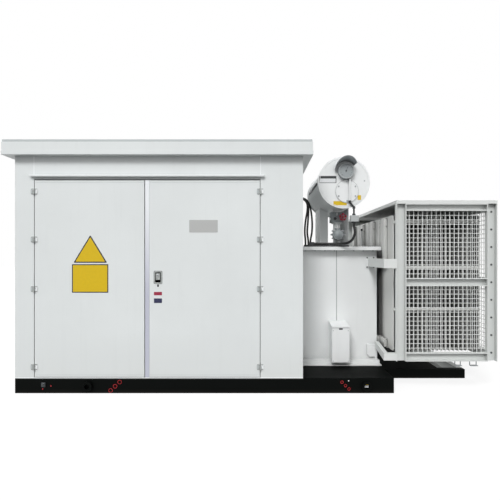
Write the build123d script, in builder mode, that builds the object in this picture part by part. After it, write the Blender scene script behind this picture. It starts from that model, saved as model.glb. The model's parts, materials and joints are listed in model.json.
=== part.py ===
from build123d import *
import math
import os

# A compact substation: a switchgear house with a double door, a transformer tank with its oil
# conservator, and panel radiators behind a wire-mesh cage, all on one steel skid.
# +X runs to the right, the doors face -Y, the ground is z = 0 and the origin is at its centre.

# Overall sizes
overall_depth = 2660.0
overall_height = 2520.0

# Skid
skid_height = 150.0
deck_thickness = 6.0
beam_web = 10.0
beam_flange = 70.0
beam_flange_thickness = 12.0
skid_beyond_tank = 2.0
cross_beam_count = 3
lug_radius = 48.0
lug_bore = 26.0
lug_length = 32.0
lug_inset_left = 730.0
lug_inset_right = 275.0

# Skid extension below the radiators
extension_height = 100.0
extension_right_inset = 82.0
extension_front_setback = 508.0
extension_bar_width = 66.0
extension_bar_gap = 150.0
extension_deck_thickness = 8.0

# House
roof_side_overhang = 95.0
roof_end_overhang = 80.0
house_length = 2880.0
wall_thickness = 50.0
roof_thickness = 150.0
roof_lip_height = 37.0
roof_lip_proud = 4.0
roof_rim_height = 24.0
roof_rim_setback = 5.0
drip_rail_drop = 188.0
drip_rail_height = 20.0
drip_rail_projection = 30.0
drip_rail_sheet = 3.0
drip_rail_end = 36.0

# Double door
left_jamb = 190.0
right_jamb = 425.0
door_gap = 5.0
meeting_gap = 8.0
door_bottom_gap = 10.0
lintel_height = 236.0
door_thickness = 45.0
meeting_strip_width = 41.0
meeting_strip_proud = 4.0
stop_width = 60.0
stop_cover = 30.0
stop_thickness = 20.0
leaf_edge = 3.0

# Door hinges
hinge_rises = (102.0, 882.0)
hinge_drops = (592.0, 112.0)
hinge_offset = 14.0
knuckle_radius = 10.0
hinge_height = 56.0
hinge_leaf = 30.0
hinge_leaf_thickness = 4.0
hinge_relief = 2.0
pin_radius = 4.0
pin_clearance = 0.3

# Door lock
lock_inset = 87.0
lock_width = 82.0
lock_height = 127.0
lock_corner = 10.0
lock_centre_height = 1158.0
lock_plate = 4.0
lock_pocket = 3.0
pocket_width = 57.0
pocket_height = 102.0
pocket_corner = 6.0
paddle_width = 41.0
paddle_height = 64.0
paddle_rise = 8.0
paddle_corner = 5.0
paddle_thickness = 6.0

# Transformer tank
tank_house_gap = 30.0
tank_length = 878.0
tank_front_setback = 630.0
tank_rear_setback = 170.0
base_plate_thickness = 12.0
base_plate_margin = 168.0
base_plate_side = 9.0
curb_height = 36.0
curb_margin = 105.0
curb_side = 5.0
lid_top = 1475.0
lid_thickness = 40.0
lid_margin_y = 84.0
lid_margin_x = 30.0
lid_edge = 4.0
tank_seam_width = 6.0
tank_seam_depth = 3.0
tank_seam_inset = 417.0

# Jacking plates at the tank's right corners
jack_width = 117.0
jack_height = 140.0
jack_thickness = 25.0
jack_bottom = 219.0
jack_corner = 30.0

# Control box on the tank's front
box_left_inset = 326.0
box_width = 196.0
box_depth = 220.0
box_front_height = 399.0
box_hood_rise = 31.0
box_hood_overhang = 12.0
box_cover_thickness = 4.0
box_cover_margin = 12.0

# Conservator
conservator_radius = 286.0
conservator_length = 1110.0
conservator_front_setback = 420.0
conservator_inset = 462.0
conservator_rim = 12.0
conservator_rim_width = 14.0
leg_front_setback = 1050.0
leg_depth = 440.0
leg_width = 102.0
leg_spread = 353.0
leg_plate = 8.0
leg_foot = 12.0
seat_clearance = 0.3

# Oil gauge and its sun hood
gauge_dx = 16.0
gauge_dz = 120.0
gauge_radius = 87.0
gauge_depth = 50.0
gauge_rim = 12.0
gauge_recess = 8.0
hood_root_radius = 112.0
hood_mouth_radius = 145.0
hood_thickness = 4.0
hood_depth = 160.0
hood_side_depth = 25.0
hood_trim = 24.0
hood_start = 35.0
hood_sweep = 145.0
cover_dx = 32.0
cover_dz = -97.0
cover_radius = 128.0
cover_thickness = 8.0

# Gas relay, valve and ribbed flange between the conservator and the lid
relay_dx = -33.0
relay_setback = 700.0
relay_pipe_radius = 40.0
relay_foot_radius = 70.0
relay_foot_height = 16.0
relay_width = 150.0
relay_depth = 120.0
relay_height = 120.0
relay_above_valve = 200.0
relay_neck = 30.0
relay_chamfer = 8.0
valve_radius = 80.0
valve_length = 70.0
valve_rise = 140.0
valve_core_radius = 58.0
valve_ribs = 10
valve_rib_width = 15.0
valve_rib_setback = 21.0
valve_rib_length = 28.0
handwheel_radius = 38.0
handwheel_tube = 7.0
handwheel_dx = 56.0
handwheel_reach = 30.0

# Junction box beside the conservator
junction_width = 90.0
junction_height = 70.0
junction_depth = 60.0
junction_inset = 525.0
junction_height_above_lid = 269.0
junction_setback = 370.0
junction_edge = 4.0
conduit_radius = 10.0
conduit_bend_radius = 25.0
conduit_head_dx = 43.5
conduit_foot_inset = 49.0

# Radiators
bank_count = 4
bank_gap = 30.0
bank_front_setback = 252.0
bank_rear_setback = 318.0
fin_count = 22
fin_pitch = 43.0
fin_thickness = 9.0
fin_bottom = 364.0
fin_top = 1804.0
fin_corner = 24.0
first_fin_inset = 48.0
header_top_inset = 62.0
header_low_inset = 42.0
header_radius = 40.0
header_end = 2.2
flange_gap = 0.3
duct_width = 34.0
duct_foot = 1250.0
tie_height = 30.0
tie_thickness = 6.0
tie_levels = (809.0, 1251.0, 1731.0)

# Cage
tank_cage_gap = 27.0
cage_length = 1010.0
cage_rear_overhang = 80.0
cage_bottom = 317.0
cage_top = 1930.0
cage_roof_sheet = 4.0
cage_roof_lip = 35.0
post_width = 100.0
channel_depth = 50.0
channel_wall = 8.0
top_rail_height = 70.0
mid_rail_bottom = 1070.0
mid_rail_height = 79.0
bottom_rail_height = 85.0
mesh_pitch = 45.5
wire = 5.0
wire_gap = 0.3

# Arms between the tank and the cage
arm_left_reach = 127.0
arm_height = 92.0
arm_thickness = 50.0
arm_foot_width = 40.0
upper_arm_bottom = 1250.0
lower_arm_bottom = 327.0
lower_arm_height = 70.0

# Conduit from the gauge down to the junction box
conduit_bend_drop = 219.0
conduit_bend_height = 55.0

# Black hose from the junction box along the lid, with the tray that it lies on
hose_diameter = 28.0
tray_height = 18.0
tray_width = 60.0
tray_left_inset = 90.0
tray_right_inset = 330.0
tray_lid_inset = 12.0
gland_radius = 20.0
hose_gland_length = 12.0
hose_fitting_inset = 4.0
hose_fitting_length = 60.0
hose_fitting_width = 48.0
hose_fitting_height = 35.0
hose_route = (
    (1111, -850, 1732), (1111, -850, 1694), (1122, -850, 1652), (1122.5, -846, 1612),
    (1112, -835, 1573), (1093, -816, 1541), (1067, -791, 1519), (1032, -760, 1508.6),
    (984, -724, 1508), (916, -691, 1507.6), (839, -671, 1507.5), (759, -662, 1507.5),
    (699, -662, 1507.5),
)

# Three black cables from the house's right wall down to the lid
cable_diameter = 22.0
cable_front_route = (
    (535, -530, 2040), (577, -530, 2040), (613, -529, 2019), (636, -528, 1979), (638, -526, 1905),
    (612, -522, 1770), (604, -521, 1640), (615, -520, 1560), (615, -520, 1500),
)
cable_middle_route = (
    (535, -485, 2050), (585, -485, 2050), (623, -484, 2028), (648, -483, 1985), (656, -482, 1908),
    (648, -480, 1770), (636, -481, 1640), (652, -484, 1562), (652, -484, 1500),
)
cable_rear_route = (
    (535, -440, 2060), (595, -440, 2060), (639, -440, 2035), (668, -441, 1987), (690, -442, 1905),
    (704, -443, 1770), (700, -442, 1640), (680, -440, 1560), (680, -440, 1500),
)

# Glands of the cables: setback from the front and drop below the roof on the wall, then insets from
# the tank's left and front on the lid
wall_gland_length = 20.0
lid_gland_height = 25.0
wall_gland_places = ((720.0, 330.0), (765.0, 320.0), (810.0, 310.0))
lid_gland_places = ((70.0, 100.0), (107.0, 136.0), (135.0, 180.0))

# Derived places, left to right and front to back
overall_length = roof_side_overhang + house_length + tank_house_gap + tank_length
overall_length += tank_cage_gap + cage_length
house_left = -overall_length / 2 + roof_side_overhang
house_right = house_left + house_length
house_front = -overall_depth / 2 + roof_end_overhang
house_rear = overall_depth / 2 - roof_end_overhang
house_depth = house_rear - house_front
wall_top = overall_height - roof_thickness
opening_left = house_left + left_jamb
opening_right = house_right - right_jamb
opening_width = opening_right - opening_left
opening_top = wall_top - lintel_height
door_bottom = skid_height + door_bottom_gap
door_height = opening_top - door_gap - door_bottom
beam_height = skid_height - deck_thickness
tank_left = house_right + tank_house_gap
tank_right = tank_left + tank_length
skid_right = tank_right + skid_beyond_tank
skid_length = skid_right - house_left
tank_front = house_front + tank_front_setback
tank_rear = house_rear - tank_rear_setback
tank_depth = tank_rear - tank_front
tank_centre_y = (tank_front + tank_rear) / 2
tank_centre_x = (tank_left + tank_right) / 2
curb_bottom = skid_height + base_plate_thickness
curb_top = curb_bottom + curb_height
wall_head = lid_top - lid_thickness
box_bottom = curb_top
cage_right = overall_length / 2
cage_left = cage_right - cage_length
cage_front = house_front
cage_rear = house_rear + cage_rear_overhang
conservator_x = tank_left + conservator_inset
conservator_front = house_front + conservator_front_setback
conservator_rear = conservator_front + conservator_length
drum_radius = conservator_radius - conservator_rim
valve_centre = lid_top + valve_rise
relay_centre = valve_centre + relay_above_valve
conservator_height = relay_centre + relay_height / 2 + relay_neck + drum_radius


def finish(part, label):
    """Names a finished piece and writes it to its own file."""
    part.label = label
    export_step(part, "parts/" + label + ".step")


def block(x0, x1, y0, y1, z0, z1):
    """Adds a straight block to the part being built, from its six limits."""
    with Locations(((x0 + x1) / 2, (y0 + y1) / 2, (z0 + z1) / 2)):
        Box(x1 - x0, y1 - y0, z1 - z0)


def facing_front(x, y, z):
    """Gives a sketch plane that faces the viewer, with its X to the right and its Y up."""
    return Plane(origin=(x, y, z), x_dir=(1, 0, 0), z_dir=(0, -1, 0))


def facing_right(x, y, z):
    """Gives a sketch plane that faces right, with its X to the rear and its Y up."""
    return Plane(origin=(x, y, z), x_dir=(0, 1, 0), z_dir=(1, 0, 0))


def channel_outline(width, depth, web, flange):
    """Draws a C-section centred on its web's outer face, open towards +Y of the sketch."""
    Polygon(
        (-width / 2, 0), (width / 2, 0), (width / 2, depth), (width / 2 - flange, depth),
        (width / 2 - flange, web), (-width / 2 + flange, web), (-width / 2 + flange, depth),
        (-width / 2, depth), align=None,
    )


os.makedirs("parts", exist_ok=True)

# Skid beams along the front and the rear, with their flat webs outwards
with BuildPart() as skid_side_beams:
    for face_y, inward in ((house_front, 1), (house_rear, -1)):
        section_plane = Plane(
            origin=(house_left, face_y, beam_height / 2), x_dir=(0, 0, 1), z_dir=(-inward, 0, 0)
        )
        with BuildSketch(section_plane):
            channel_outline(beam_height, beam_flange, beam_web, beam_flange_thickness)
        extrude(amount=-skid_length * inward)
finish(skid_side_beams.part, "skid_side_beams")

# Skid cross beams: one at each end with its web outwards, and the rest between them
cross_front = house_front + beam_flange
cross_length = house_depth - 2 * beam_flange
with BuildPart() as skid_cross_beams:
    for end_x, inward in ((house_left, 1), (skid_right, -1)):
        section_plane = Plane(
            origin=(end_x, cross_front, beam_height / 2), x_dir=(0, 0, 1), z_dir=(0, inward, 0)
        )
        with BuildSketch(section_plane):
            channel_outline(beam_height, beam_flange, beam_web, beam_flange_thickness)
        extrude(amount=cross_length * inward)
    for index in range(cross_beam_count):
        beam_x = house_left + (index + 1) * house_length / cross_beam_count - beam_flange
        block(beam_x, beam_x + beam_web, cross_front, cross_front + cross_length, 0, beam_height)
finish(skid_cross_beams.part, "skid_cross_beams")

# Lifting bosses on the front and rear beams
lug_places = (house_left + lug_inset_left, skid_right - lug_inset_right)
with BuildPart() as lifting_bosses:
    for face_y, outward in ((house_front, -1), (house_rear, 1)):
        for lug_x in lug_places:
            boss_plane = Plane(origin=(lug_x, face_y, beam_height / 2), z_dir=(0, outward, 0))
            with BuildSketch(boss_plane):
                Circle(lug_radius)
                Circle(lug_bore, mode=Mode.SUBTRACT)
            extrude(amount=lug_length)
finish(lifting_bosses.part, "lifting_bosses")

# Floor plate of the house, and the deck that carries the tank
with BuildPart() as house_floor:
    block(house_left, house_right, house_front, house_rear, beam_height, skid_height)
finish(house_floor.part, "house_floor")

with BuildPart() as tank_deck:
    block(house_right, skid_right, house_front, house_rear, beam_height, skid_height)
finish(tank_deck.part, "tank_deck")

# Lower skid below the radiators
extension_left = skid_right
extension_right = cage_right - extension_right_inset
extension_front = house_front + extension_front_setback
extension_rear = tank_rear + tank_front - extension_front
with BuildPart() as extension_beams:
    for face_y, inward in ((extension_front, 1), (extension_rear, -1)):
        section_plane = Plane(
            origin=(extension_left, face_y, extension_height / 2),
            x_dir=(0, 0, 1),
            z_dir=(-inward, 0, 0),
        )
        with BuildSketch(section_plane):
            channel_outline(extension_height, beam_flange, beam_web, beam_flange_thickness)
        extrude(amount=(extension_left - extension_right) * inward)
finish(extension_beams.part, "extension_beams")

bar_front = extension_front + beam_flange
bar_rear = extension_rear - beam_flange
second_bar_left = extension_right - 2 * extension_bar_width - extension_bar_gap
with BuildPart() as extension_cross_bars:
    for bar_x in (extension_right - extension_bar_width, second_bar_left):
        block(bar_x, bar_x + extension_bar_width, bar_front, bar_rear, 0, extension_height)
finish(extension_cross_bars.part, "extension_cross_bars")

with BuildPart() as extension_deck:
    deck_under = extension_height - extension_deck_thickness
    block(extension_left, second_bar_left, bar_front, bar_rear, deck_under, extension_height)
finish(extension_deck.part, "extension_deck")

# House walls: the front is split beside and over the doorway
wall_inside_front = house_front + wall_thickness
wall_inside_rear = house_rear - wall_thickness
wall_limits = {
    "front_wall_left": (house_left, opening_left, house_front, wall_inside_front),
    "front_wall_right": (opening_right, house_right, house_front, wall_inside_front),
    "rear_wall": (house_left, house_right, wall_inside_rear, house_rear),
    "left_wall": (house_left, house_left + wall_thickness, wall_inside_front, wall_inside_rear),
    "right_wall": (house_right - wall_thickness, house_right, wall_inside_front, wall_inside_rear),
}
for wall_name, (x0, x1, y0, y1) in wall_limits.items():
    with BuildPart() as wall:
        block(x0, x1, y0, y1, skid_height, wall_top)
    finish(wall.part, wall_name)

with BuildPart() as front_lintel:
    block(opening_left, opening_right, house_front, wall_inside_front, opening_top, wall_top)
finish(front_lintel.part, "front_lintel")

# Flat roof with a proud lower lip and a set-back rim round its top
roof_half_length = house_length / 2 + roof_side_overhang
roof_half_depth = house_depth / 2 + roof_end_overhang
roof_x = (house_left + house_right) / 2
fascia_length = 2 * (roof_half_length - roof_lip_proud)
fascia_depth = 2 * (roof_half_depth - roof_lip_proud)
with BuildPart() as roof:
    with BuildSketch(Plane.XY.offset(wall_top)):
        with Locations((roof_x, 0)):
            Rectangle(2 * roof_half_length, 2 * roof_half_depth)
    extrude(amount=roof_lip_height)
    with BuildSketch(Plane.XY.offset(wall_top + roof_lip_height)):
        with Locations((roof_x, 0)):
            Rectangle(fascia_length, fascia_depth)
    extrude(amount=roof_thickness - roof_lip_height - roof_rim_height)
    with BuildSketch(Plane.XY.offset(overall_height - roof_rim_height)):
        with Locations((roof_x, 0)):
            Rectangle(fascia_length - 2 * roof_rim_setback, fascia_depth - 2 * roof_rim_setback)
    extrude(amount=roof_rim_height)
finish(roof.part, "roof")

# Drip rail over the doors: a folded sheet with a lip turned down
rail_top = overall_height - roof_thickness - drip_rail_drop
rail_out = house_front - drip_rail_projection
with BuildPart() as drip_rail:
    with BuildSketch(facing_right(opening_left - drip_rail_end, 0, 0)):
        with BuildLine():
            Polyline(
                (house_front, rail_top),
                (house_front, rail_top - drip_rail_height),
                (house_front - drip_rail_sheet, rail_top - drip_rail_height),
                (house_front - drip_rail_sheet, rail_top - drip_rail_sheet),
                (rail_out + drip_rail_sheet, rail_top - 2 * drip_rail_sheet),
                (rail_out + drip_rail_sheet, rail_top - drip_rail_height),
                (rail_out, rail_top - drip_rail_height),
                (rail_out, rail_top - drip_rail_sheet),
                close=True,
            )
        make_face()
    extrude(amount=opening_width + 2 * drip_rail_end)
finish(drip_rail.part, "drip_rail")

# Door stops behind the leaves, on the inner faces of the front wall
stop_front = wall_inside_front
stop_rear = stop_front + stop_thickness
side_stop_top = opening_top - stop_cover
with BuildPart() as door_stops:
    for edge_x, inward in ((opening_left, 1), (opening_right, -1)):
        near = edge_x + stop_cover * inward
        far = near - stop_width * inward
        block(min(near, far), max(near, far), stop_front, stop_rear, skid_height, side_stop_top)
    stop_left = opening_left + stop_cover - stop_width
    stop_right = opening_right - stop_cover + stop_width
    head_bottom = side_stop_top + seat_clearance
    block(stop_left, stop_right, stop_front, stop_rear, head_bottom, head_bottom + stop_width)
finish(door_stops.part, "door_stops")

# Door leaves; the light meeting strip is on the right leaf's edge
meeting_middle = (opening_left + opening_right) / 2
right_leaf_left = meeting_middle - meeting_strip_width / 2
left_leaf_right = right_leaf_left - meeting_gap
left_leaf_left = opening_left + door_gap
right_leaf_right = opening_right - door_gap
door_rear = house_front + door_thickness
door_top = door_bottom + door_height
for leaf_name, leaf_x0, leaf_x1 in (
    ("left_door", left_leaf_left, left_leaf_right),
    ("right_door", right_leaf_left, right_leaf_right),
):
    with BuildPart() as leaf:
        block(leaf_x0, leaf_x1, house_front, door_rear, door_bottom, door_top)
        front_edges = leaf.faces().sort_by(Axis.Y)[0].edges()
        chamfer(front_edges, length=leaf_edge)
    finish(leaf.part, leaf_name)

with BuildPart() as meeting_strip:
    strip_front = house_front - meeting_strip_proud
    strip_right = right_leaf_left + meeting_strip_width
    block(right_leaf_left, strip_right, strip_front, house_front, door_bottom, door_top)
    chamfer(meeting_strip.faces().sort_by(Axis.Y)[0].edges(), length=meeting_strip_proud / 4)
finish(meeting_strip.part, "meeting_strip")

# Hinges: the lower knuckle and its pin are on the wall, the upper knuckle is on the leaf
hinge_y = house_front - hinge_offset
left_hinge_x = opening_left + door_gap / 2
right_hinge_x = opening_right - door_gap / 2
half_hinge = hinge_height / 2
hinge_heights = [door_bottom + rise for rise in hinge_rises]
hinge_heights += [door_top - drop for drop in hinge_drops]
knuckle_gap = pin_clearance / 2


def hinge_leaves(axis_x, outward, low):
    """Adds a hinge leaf on one side of its axis; low says which half carries the knuckle."""
    plate_front = house_front - hinge_leaf_thickness
    relief = knuckle_radius + hinge_relief
    for centre_z in hinge_heights:
        near_x = axis_x + relief * outward
        far_x = axis_x + hinge_leaf * outward
        x0, x1 = min(near_x, far_x), max(near_x, far_x)
        block(x0, x1, plate_front, house_front, centre_z - half_hinge, centre_z + half_hinge)
        tongue_x0, tongue_x1 = min(axis_x, near_x), max(axis_x, near_x)
        if low:
            z0, z1 = centre_z - half_hinge, centre_z - knuckle_gap
        else:
            z0, z1 = centre_z + knuckle_gap, centre_z + half_hinge
        tongue_front = house_front - hinge_offset
        block(tongue_x0, tongue_x1, tongue_front, tongue_front + hinge_leaf_thickness, z0, z1)
        block(
            min(near_x, near_x - hinge_leaf_thickness * outward),
            max(near_x, near_x - hinge_leaf_thickness * outward),
            tongue_front, house_front, z0, z1,
        )


with BuildPart() as frame_hinges:
    for axis_x, outward in ((left_hinge_x, -1), (right_hinge_x, 1)):
        hinge_leaves(axis_x, outward, True)
        for centre_z in hinge_heights:
            with BuildSketch(Plane.XY.offset(centre_z - half_hinge)):
                with Locations((axis_x, hinge_y)):
                    Circle(knuckle_radius)
            extrude(amount=half_hinge - knuckle_gap)
            with BuildSketch(Plane.XY.offset(centre_z - half_hinge)):
                with Locations((axis_x, hinge_y)):
                    Circle(pin_radius)
            extrude(amount=hinge_height)
finish(frame_hinges.part, "frame_hinges")

for hinge_name, axis_x, inward in (
    ("left_door_hinges", left_hinge_x, 1),
    ("right_door_hinges", right_hinge_x, -1),
):
    with BuildPart() as door_hinges:
        hinge_leaves(axis_x, inward, False)
        for centre_z in hinge_heights:
            with BuildSketch(Plane.XY.offset(centre_z + knuckle_gap)):
                with Locations((axis_x, hinge_y)):
                    Circle(knuckle_radius)
            extrude(amount=half_hinge - knuckle_gap)
            with BuildSketch(Plane.XY.offset(centre_z + knuckle_gap)):
                with Locations((axis_x, hinge_y)):
                    Circle(pin_radius + pin_clearance)
            extrude(amount=half_hinge, mode=Mode.SUBTRACT)
    finish(door_hinges.part, hinge_name)

# Flush lock on the right leaf: a plate with a pocket and a paddle in it
lock_x = right_leaf_left + lock_inset + lock_width / 2
lock_face = house_front - lock_plate
with BuildPart() as door_lock:
    with BuildSketch(facing_front(lock_x, house_front, lock_centre_height)):
        RectangleRounded(lock_width, lock_height, radius=lock_corner)
    extrude(amount=lock_plate)
    with BuildSketch(facing_front(lock_x, lock_face, lock_centre_height)):
        RectangleRounded(pocket_width, pocket_height, radius=pocket_corner)
    extrude(amount=-lock_pocket, mode=Mode.SUBTRACT)
    with BuildSketch(facing_front(lock_x, lock_face + lock_pocket, lock_centre_height + paddle_rise)):
        RectangleRounded(paddle_width, paddle_height, radius=paddle_corner)
    extrude(amount=paddle_thickness)
finish(door_lock.part, "door_lock")

# Tank base: a wide plate with the tank's bottom flange on it
with BuildPart() as tank_base:
    with BuildSketch(Plane.XY.offset(skid_height)):
        with Locations((tank_centre_x, tank_centre_y)):
            Rectangle(tank_length + 2 * base_plate_side, tank_depth + 2 * base_plate_margin)
    extrude(amount=base_plate_thickness)
    with BuildSketch(Plane.XY.offset(curb_bottom)):
        with Locations((tank_centre_x, tank_centre_y)):
            Rectangle(tank_length + 2 * curb_side, tank_depth + 2 * curb_margin)
    extrude(amount=curb_height)
finish(tank_base.part, "tank_base")

# Tank walls, with the welded seam down the middle of the front
seam_x = tank_left + tank_seam_inset
with BuildPart() as tank_body:
    block(tank_left, tank_right, tank_front, tank_rear, curb_top, wall_head)
    with BuildSketch(Plane.XY.offset(curb_top)):
        for face_y in (tank_front, tank_rear):
            with Locations((seam_x, face_y)):
                Rectangle(tank_seam_width, 2 * tank_seam_depth)
    extrude(amount=wall_head - curb_top, mode=Mode.SUBTRACT)
finish(tank_body.part, "tank_body")

with BuildPart() as tank_lid:
    with BuildSketch(Plane.XY.offset(wall_head)):
        with Locations((tank_centre_x + lid_margin_x / 2, tank_centre_y)):
            Rectangle(tank_length + lid_margin_x, tank_depth + 2 * lid_margin_y)
    extrude(amount=lid_thickness)
    chamfer(tank_lid.faces().sort_by(Axis.Z)[-1].edges(), length=lid_edge)
finish(tank_lid.part, "tank_lid")

# Jacking plates at the front and rear corners on the right
with BuildPart() as jacking_plates:
    for face_y, outward in ((tank_front, -1), (tank_rear, 1)):
        with BuildSketch(facing_front(0, face_y, 0)):
            with BuildLine():
                Polyline(
                    (tank_right, jack_bottom), (tank_right, jack_bottom + jack_height),
                    (tank_right - jack_width, jack_bottom + jack_height),
                    (tank_right - jack_width, jack_bottom + jack_corner),
                    (tank_right - jack_width + jack_corner, jack_bottom), close=True,
                )
            make_face()
        extrude(amount=-jack_thickness * outward)
finish(jacking_plates.part, "jacking_plates")

# Control box on the tank's front, with a sloping hood and a flat front cover
box_left = tank_left + box_left_inset
box_right = box_left + box_width
box_front = tank_front - box_depth
box_front_top = box_bottom + box_front_height
with BuildPart() as control_box:
    with BuildSketch(facing_right(box_left, 0, 0)):
        with BuildLine():
            Polyline(
                (tank_front, box_bottom), (tank_front, box_front_top + box_hood_rise),
                (box_front - box_hood_overhang, box_front_top),
                (box_front - box_hood_overhang, box_front_top - box_hood_overhang),
                (box_front, box_front_top - box_hood_overhang), (box_front, box_bottom), close=True,
            )
        make_face()
    extrude(amount=box_width)
finish(control_box.part, "control_box")

with BuildPart() as control_box_cover:
    cover_x0 = box_left + box_cover_margin / 2
    cover_x1 = box_right - box_cover_margin / 2
    cover_top = box_front_top - box_hood_overhang - box_cover_margin / 2
    cover_front = box_front - box_cover_thickness
    block(cover_x0, cover_x1, cover_front, box_front, box_bottom + box_cover_margin / 2, cover_top)
finish(control_box_cover.part, "control_box_cover")

# Conservator: a drum along Y with a rim at each end
with BuildPart() as conservator_drum:
    with BuildSketch(Plane(origin=(conservator_x, 0, conservator_height), z_dir=(0, 0, 1))):
        with BuildLine():
            Polyline(
                (0, conservator_front),
                (conservator_radius, conservator_front),
                (conservator_radius, conservator_front + conservator_rim_width),
                (conservator_radius - conservator_rim, conservator_front + conservator_rim_width),
                (conservator_radius - conservator_rim, conservator_rear - conservator_rim_width),
                (conservator_radius, conservator_rear - conservator_rim_width),
                (conservator_radius, conservator_rear),
                (0, conservator_rear),
                close=True,
            )
        make_face()
    revolve(axis=Axis((conservator_x, 0, conservator_height), (0, 1, 0)))
finish(conservator_drum.part, "conservator_drum")

# Conservator legs: channels on the lid, cut to the drum's curve with feet at the bottom
leg_front = house_front + leg_front_setback
leg_rear = leg_front + leg_depth
left_leg_x = conservator_x - leg_spread / 2 - leg_plate / 2
right_leg_x = conservator_x + leg_spread / 2 - leg_plate / 2
with BuildPart() as conservator_legs:
    for leg_x, flange_side in ((left_leg_x, 1), (right_leg_x, -1)):
        web_x0, web_x1 = leg_x, leg_x + leg_plate
        block(web_x0, web_x1, leg_front, leg_rear, lid_top, conservator_height)
        flange_x = leg_x + (leg_width if flange_side > 0 else leg_plate - leg_width)
        x0, x1 = min(flange_x, leg_x), max(flange_x, leg_x + leg_plate)
        if flange_side > 0:
            block(x0, x1, leg_front, leg_front + leg_plate, lid_top, conservator_height)
        block(x0, x1, leg_rear - leg_plate, leg_rear, lid_top, conservator_height)
        block(x0, x1, leg_front, leg_rear, lid_top, lid_top + leg_foot)
    with BuildSketch(facing_front(conservator_x, leg_front, conservator_height)):
        Circle(drum_radius + seat_clearance)
    extrude(amount=-leg_depth, mode=Mode.SUBTRACT)
    with Locations((conservator_x, leg_front + leg_depth / 2, conservator_height)):
        Box(4 * leg_spread, 2 * leg_depth, conservator_radius, mode=Mode.SUBTRACT)
finish(conservator_legs.part, "conservator_legs")

# Oil gauge and its curved sun hood on the front end of the drum
gauge_x = conservator_x + gauge_dx
gauge_z = conservator_height + gauge_dz
with BuildPart() as oil_gauge:
    with BuildSketch(facing_front(gauge_x, conservator_front, gauge_z)):
        Circle(gauge_radius)
    extrude(amount=gauge_depth)
    with BuildSketch(facing_front(gauge_x, conservator_front - gauge_depth, gauge_z)):
        Circle(gauge_radius - gauge_rim)
    extrude(amount=-gauge_recess, mode=Mode.SUBTRACT)
finish(oil_gauge.part, "oil_gauge")

# The hood widens towards its mouth, and its mouth is cut back from the top down to its left tip
hood_angle = math.radians(hood_start)
hood_out = Vector(math.cos(hood_angle), 0, math.sin(hood_angle))
hood_blank = hood_depth + hood_trim
mouth_top = hood_mouth_radius + hood_thickness
cut_run = hood_depth - hood_side_depth
with BuildPart() as gauge_hood:
    profile_plane = Plane(
        origin=(gauge_x, conservator_front, gauge_z), x_dir=hood_out, z_dir=hood_out.cross(Vector(0, -1, 0))
    )
    with BuildSketch(profile_plane):
        Polygon(
            (hood_root_radius, 0), (hood_root_radius + hood_thickness, 0),
            (hood_mouth_radius + hood_thickness, hood_blank), (hood_mouth_radius, hood_blank), align=None,
        )
    revolve(axis=Axis((gauge_x, conservator_front, gauge_z), (0, -1, 0)), revolution_arc=hood_sweep)
    with BuildSketch(facing_right(gauge_x - 2 * hood_mouth_radius, conservator_front, gauge_z)):
        Polygon(
            (-hood_side_depth + cut_run, -mouth_top), (-hood_side_depth - 2 * cut_run, 2 * mouth_top),
            (-3 * hood_depth, 2 * mouth_top), (-3 * hood_depth, -mouth_top), align=None,
        )
    extrude(amount=4 * hood_mouth_radius, mode=Mode.SUBTRACT)
finish(gauge_hood.part, "gauge_hood")

cover_x = conservator_x + cover_dx
cover_z = conservator_height + cover_dz
with BuildPart() as hand_hole_cover:
    with BuildSketch(facing_front(cover_x, conservator_front, cover_z)):
        Circle(cover_radius)
    extrude(amount=cover_thickness)
finish(hand_hole_cover.part, "hand_hole_cover")

# Pipe from the drum down to the lid, with the gas relay and the ribbed valve round it
relay_x = conservator_x + relay_dx
relay_y = house_front + relay_setback
relay_bottom = relay_centre - relay_height / 2
relay_top = relay_centre + relay_height / 2
with BuildPart() as relay_pipe:
    with BuildSketch(Plane.XY.offset(relay_top)):
        with Locations((relay_x, relay_y)):
            Circle(relay_pipe_radius)
    extrude(amount=conservator_height - relay_top)
    with BuildSketch(facing_front(conservator_x, conservator_front, conservator_height)):
        Circle(drum_radius + seat_clearance)
    extrude(amount=-conservator_length, mode=Mode.SUBTRACT)
    with BuildSketch(Plane.XY.offset(lid_top)):
        with Locations((relay_x, relay_y)):
            Circle(relay_pipe_radius)
    extrude(amount=relay_bottom - lid_top)
    with BuildSketch(Plane.XY.offset(lid_top)):
        with Locations((relay_x, relay_y)):
            Circle(relay_foot_radius)
    extrude(amount=relay_foot_height)
finish(relay_pipe.part, "relay_pipe")

with BuildPart() as gas_relay:
    with Locations((relay_x, relay_y, relay_centre)):
        Box(relay_width, relay_depth, relay_height)
    chamfer(gas_relay.edges().filter_by(Axis.Z), length=relay_chamfer)
finish(gas_relay.part, "gas_relay")

wheel_plane = facing_front(relay_x + handwheel_dx, relay_y - relay_depth / 2, relay_centre)
with BuildPart() as valve_handwheel:
    with BuildSketch(wheel_plane):
        Circle(handwheel_tube)
    extrude(amount=handwheel_reach + handwheel_tube)
    with BuildSketch(wheel_plane.offset(handwheel_reach)):
        Circle(handwheel_radius)
        Circle(handwheel_radius - handwheel_tube, mode=Mode.SUBTRACT)
        Rectangle(2 * handwheel_radius - handwheel_tube, handwheel_tube)
        Rectangle(handwheel_tube, 2 * handwheel_radius - handwheel_tube)
    extrude(amount=handwheel_tube)
finish(valve_handwheel.part, "valve_handwheel")

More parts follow.
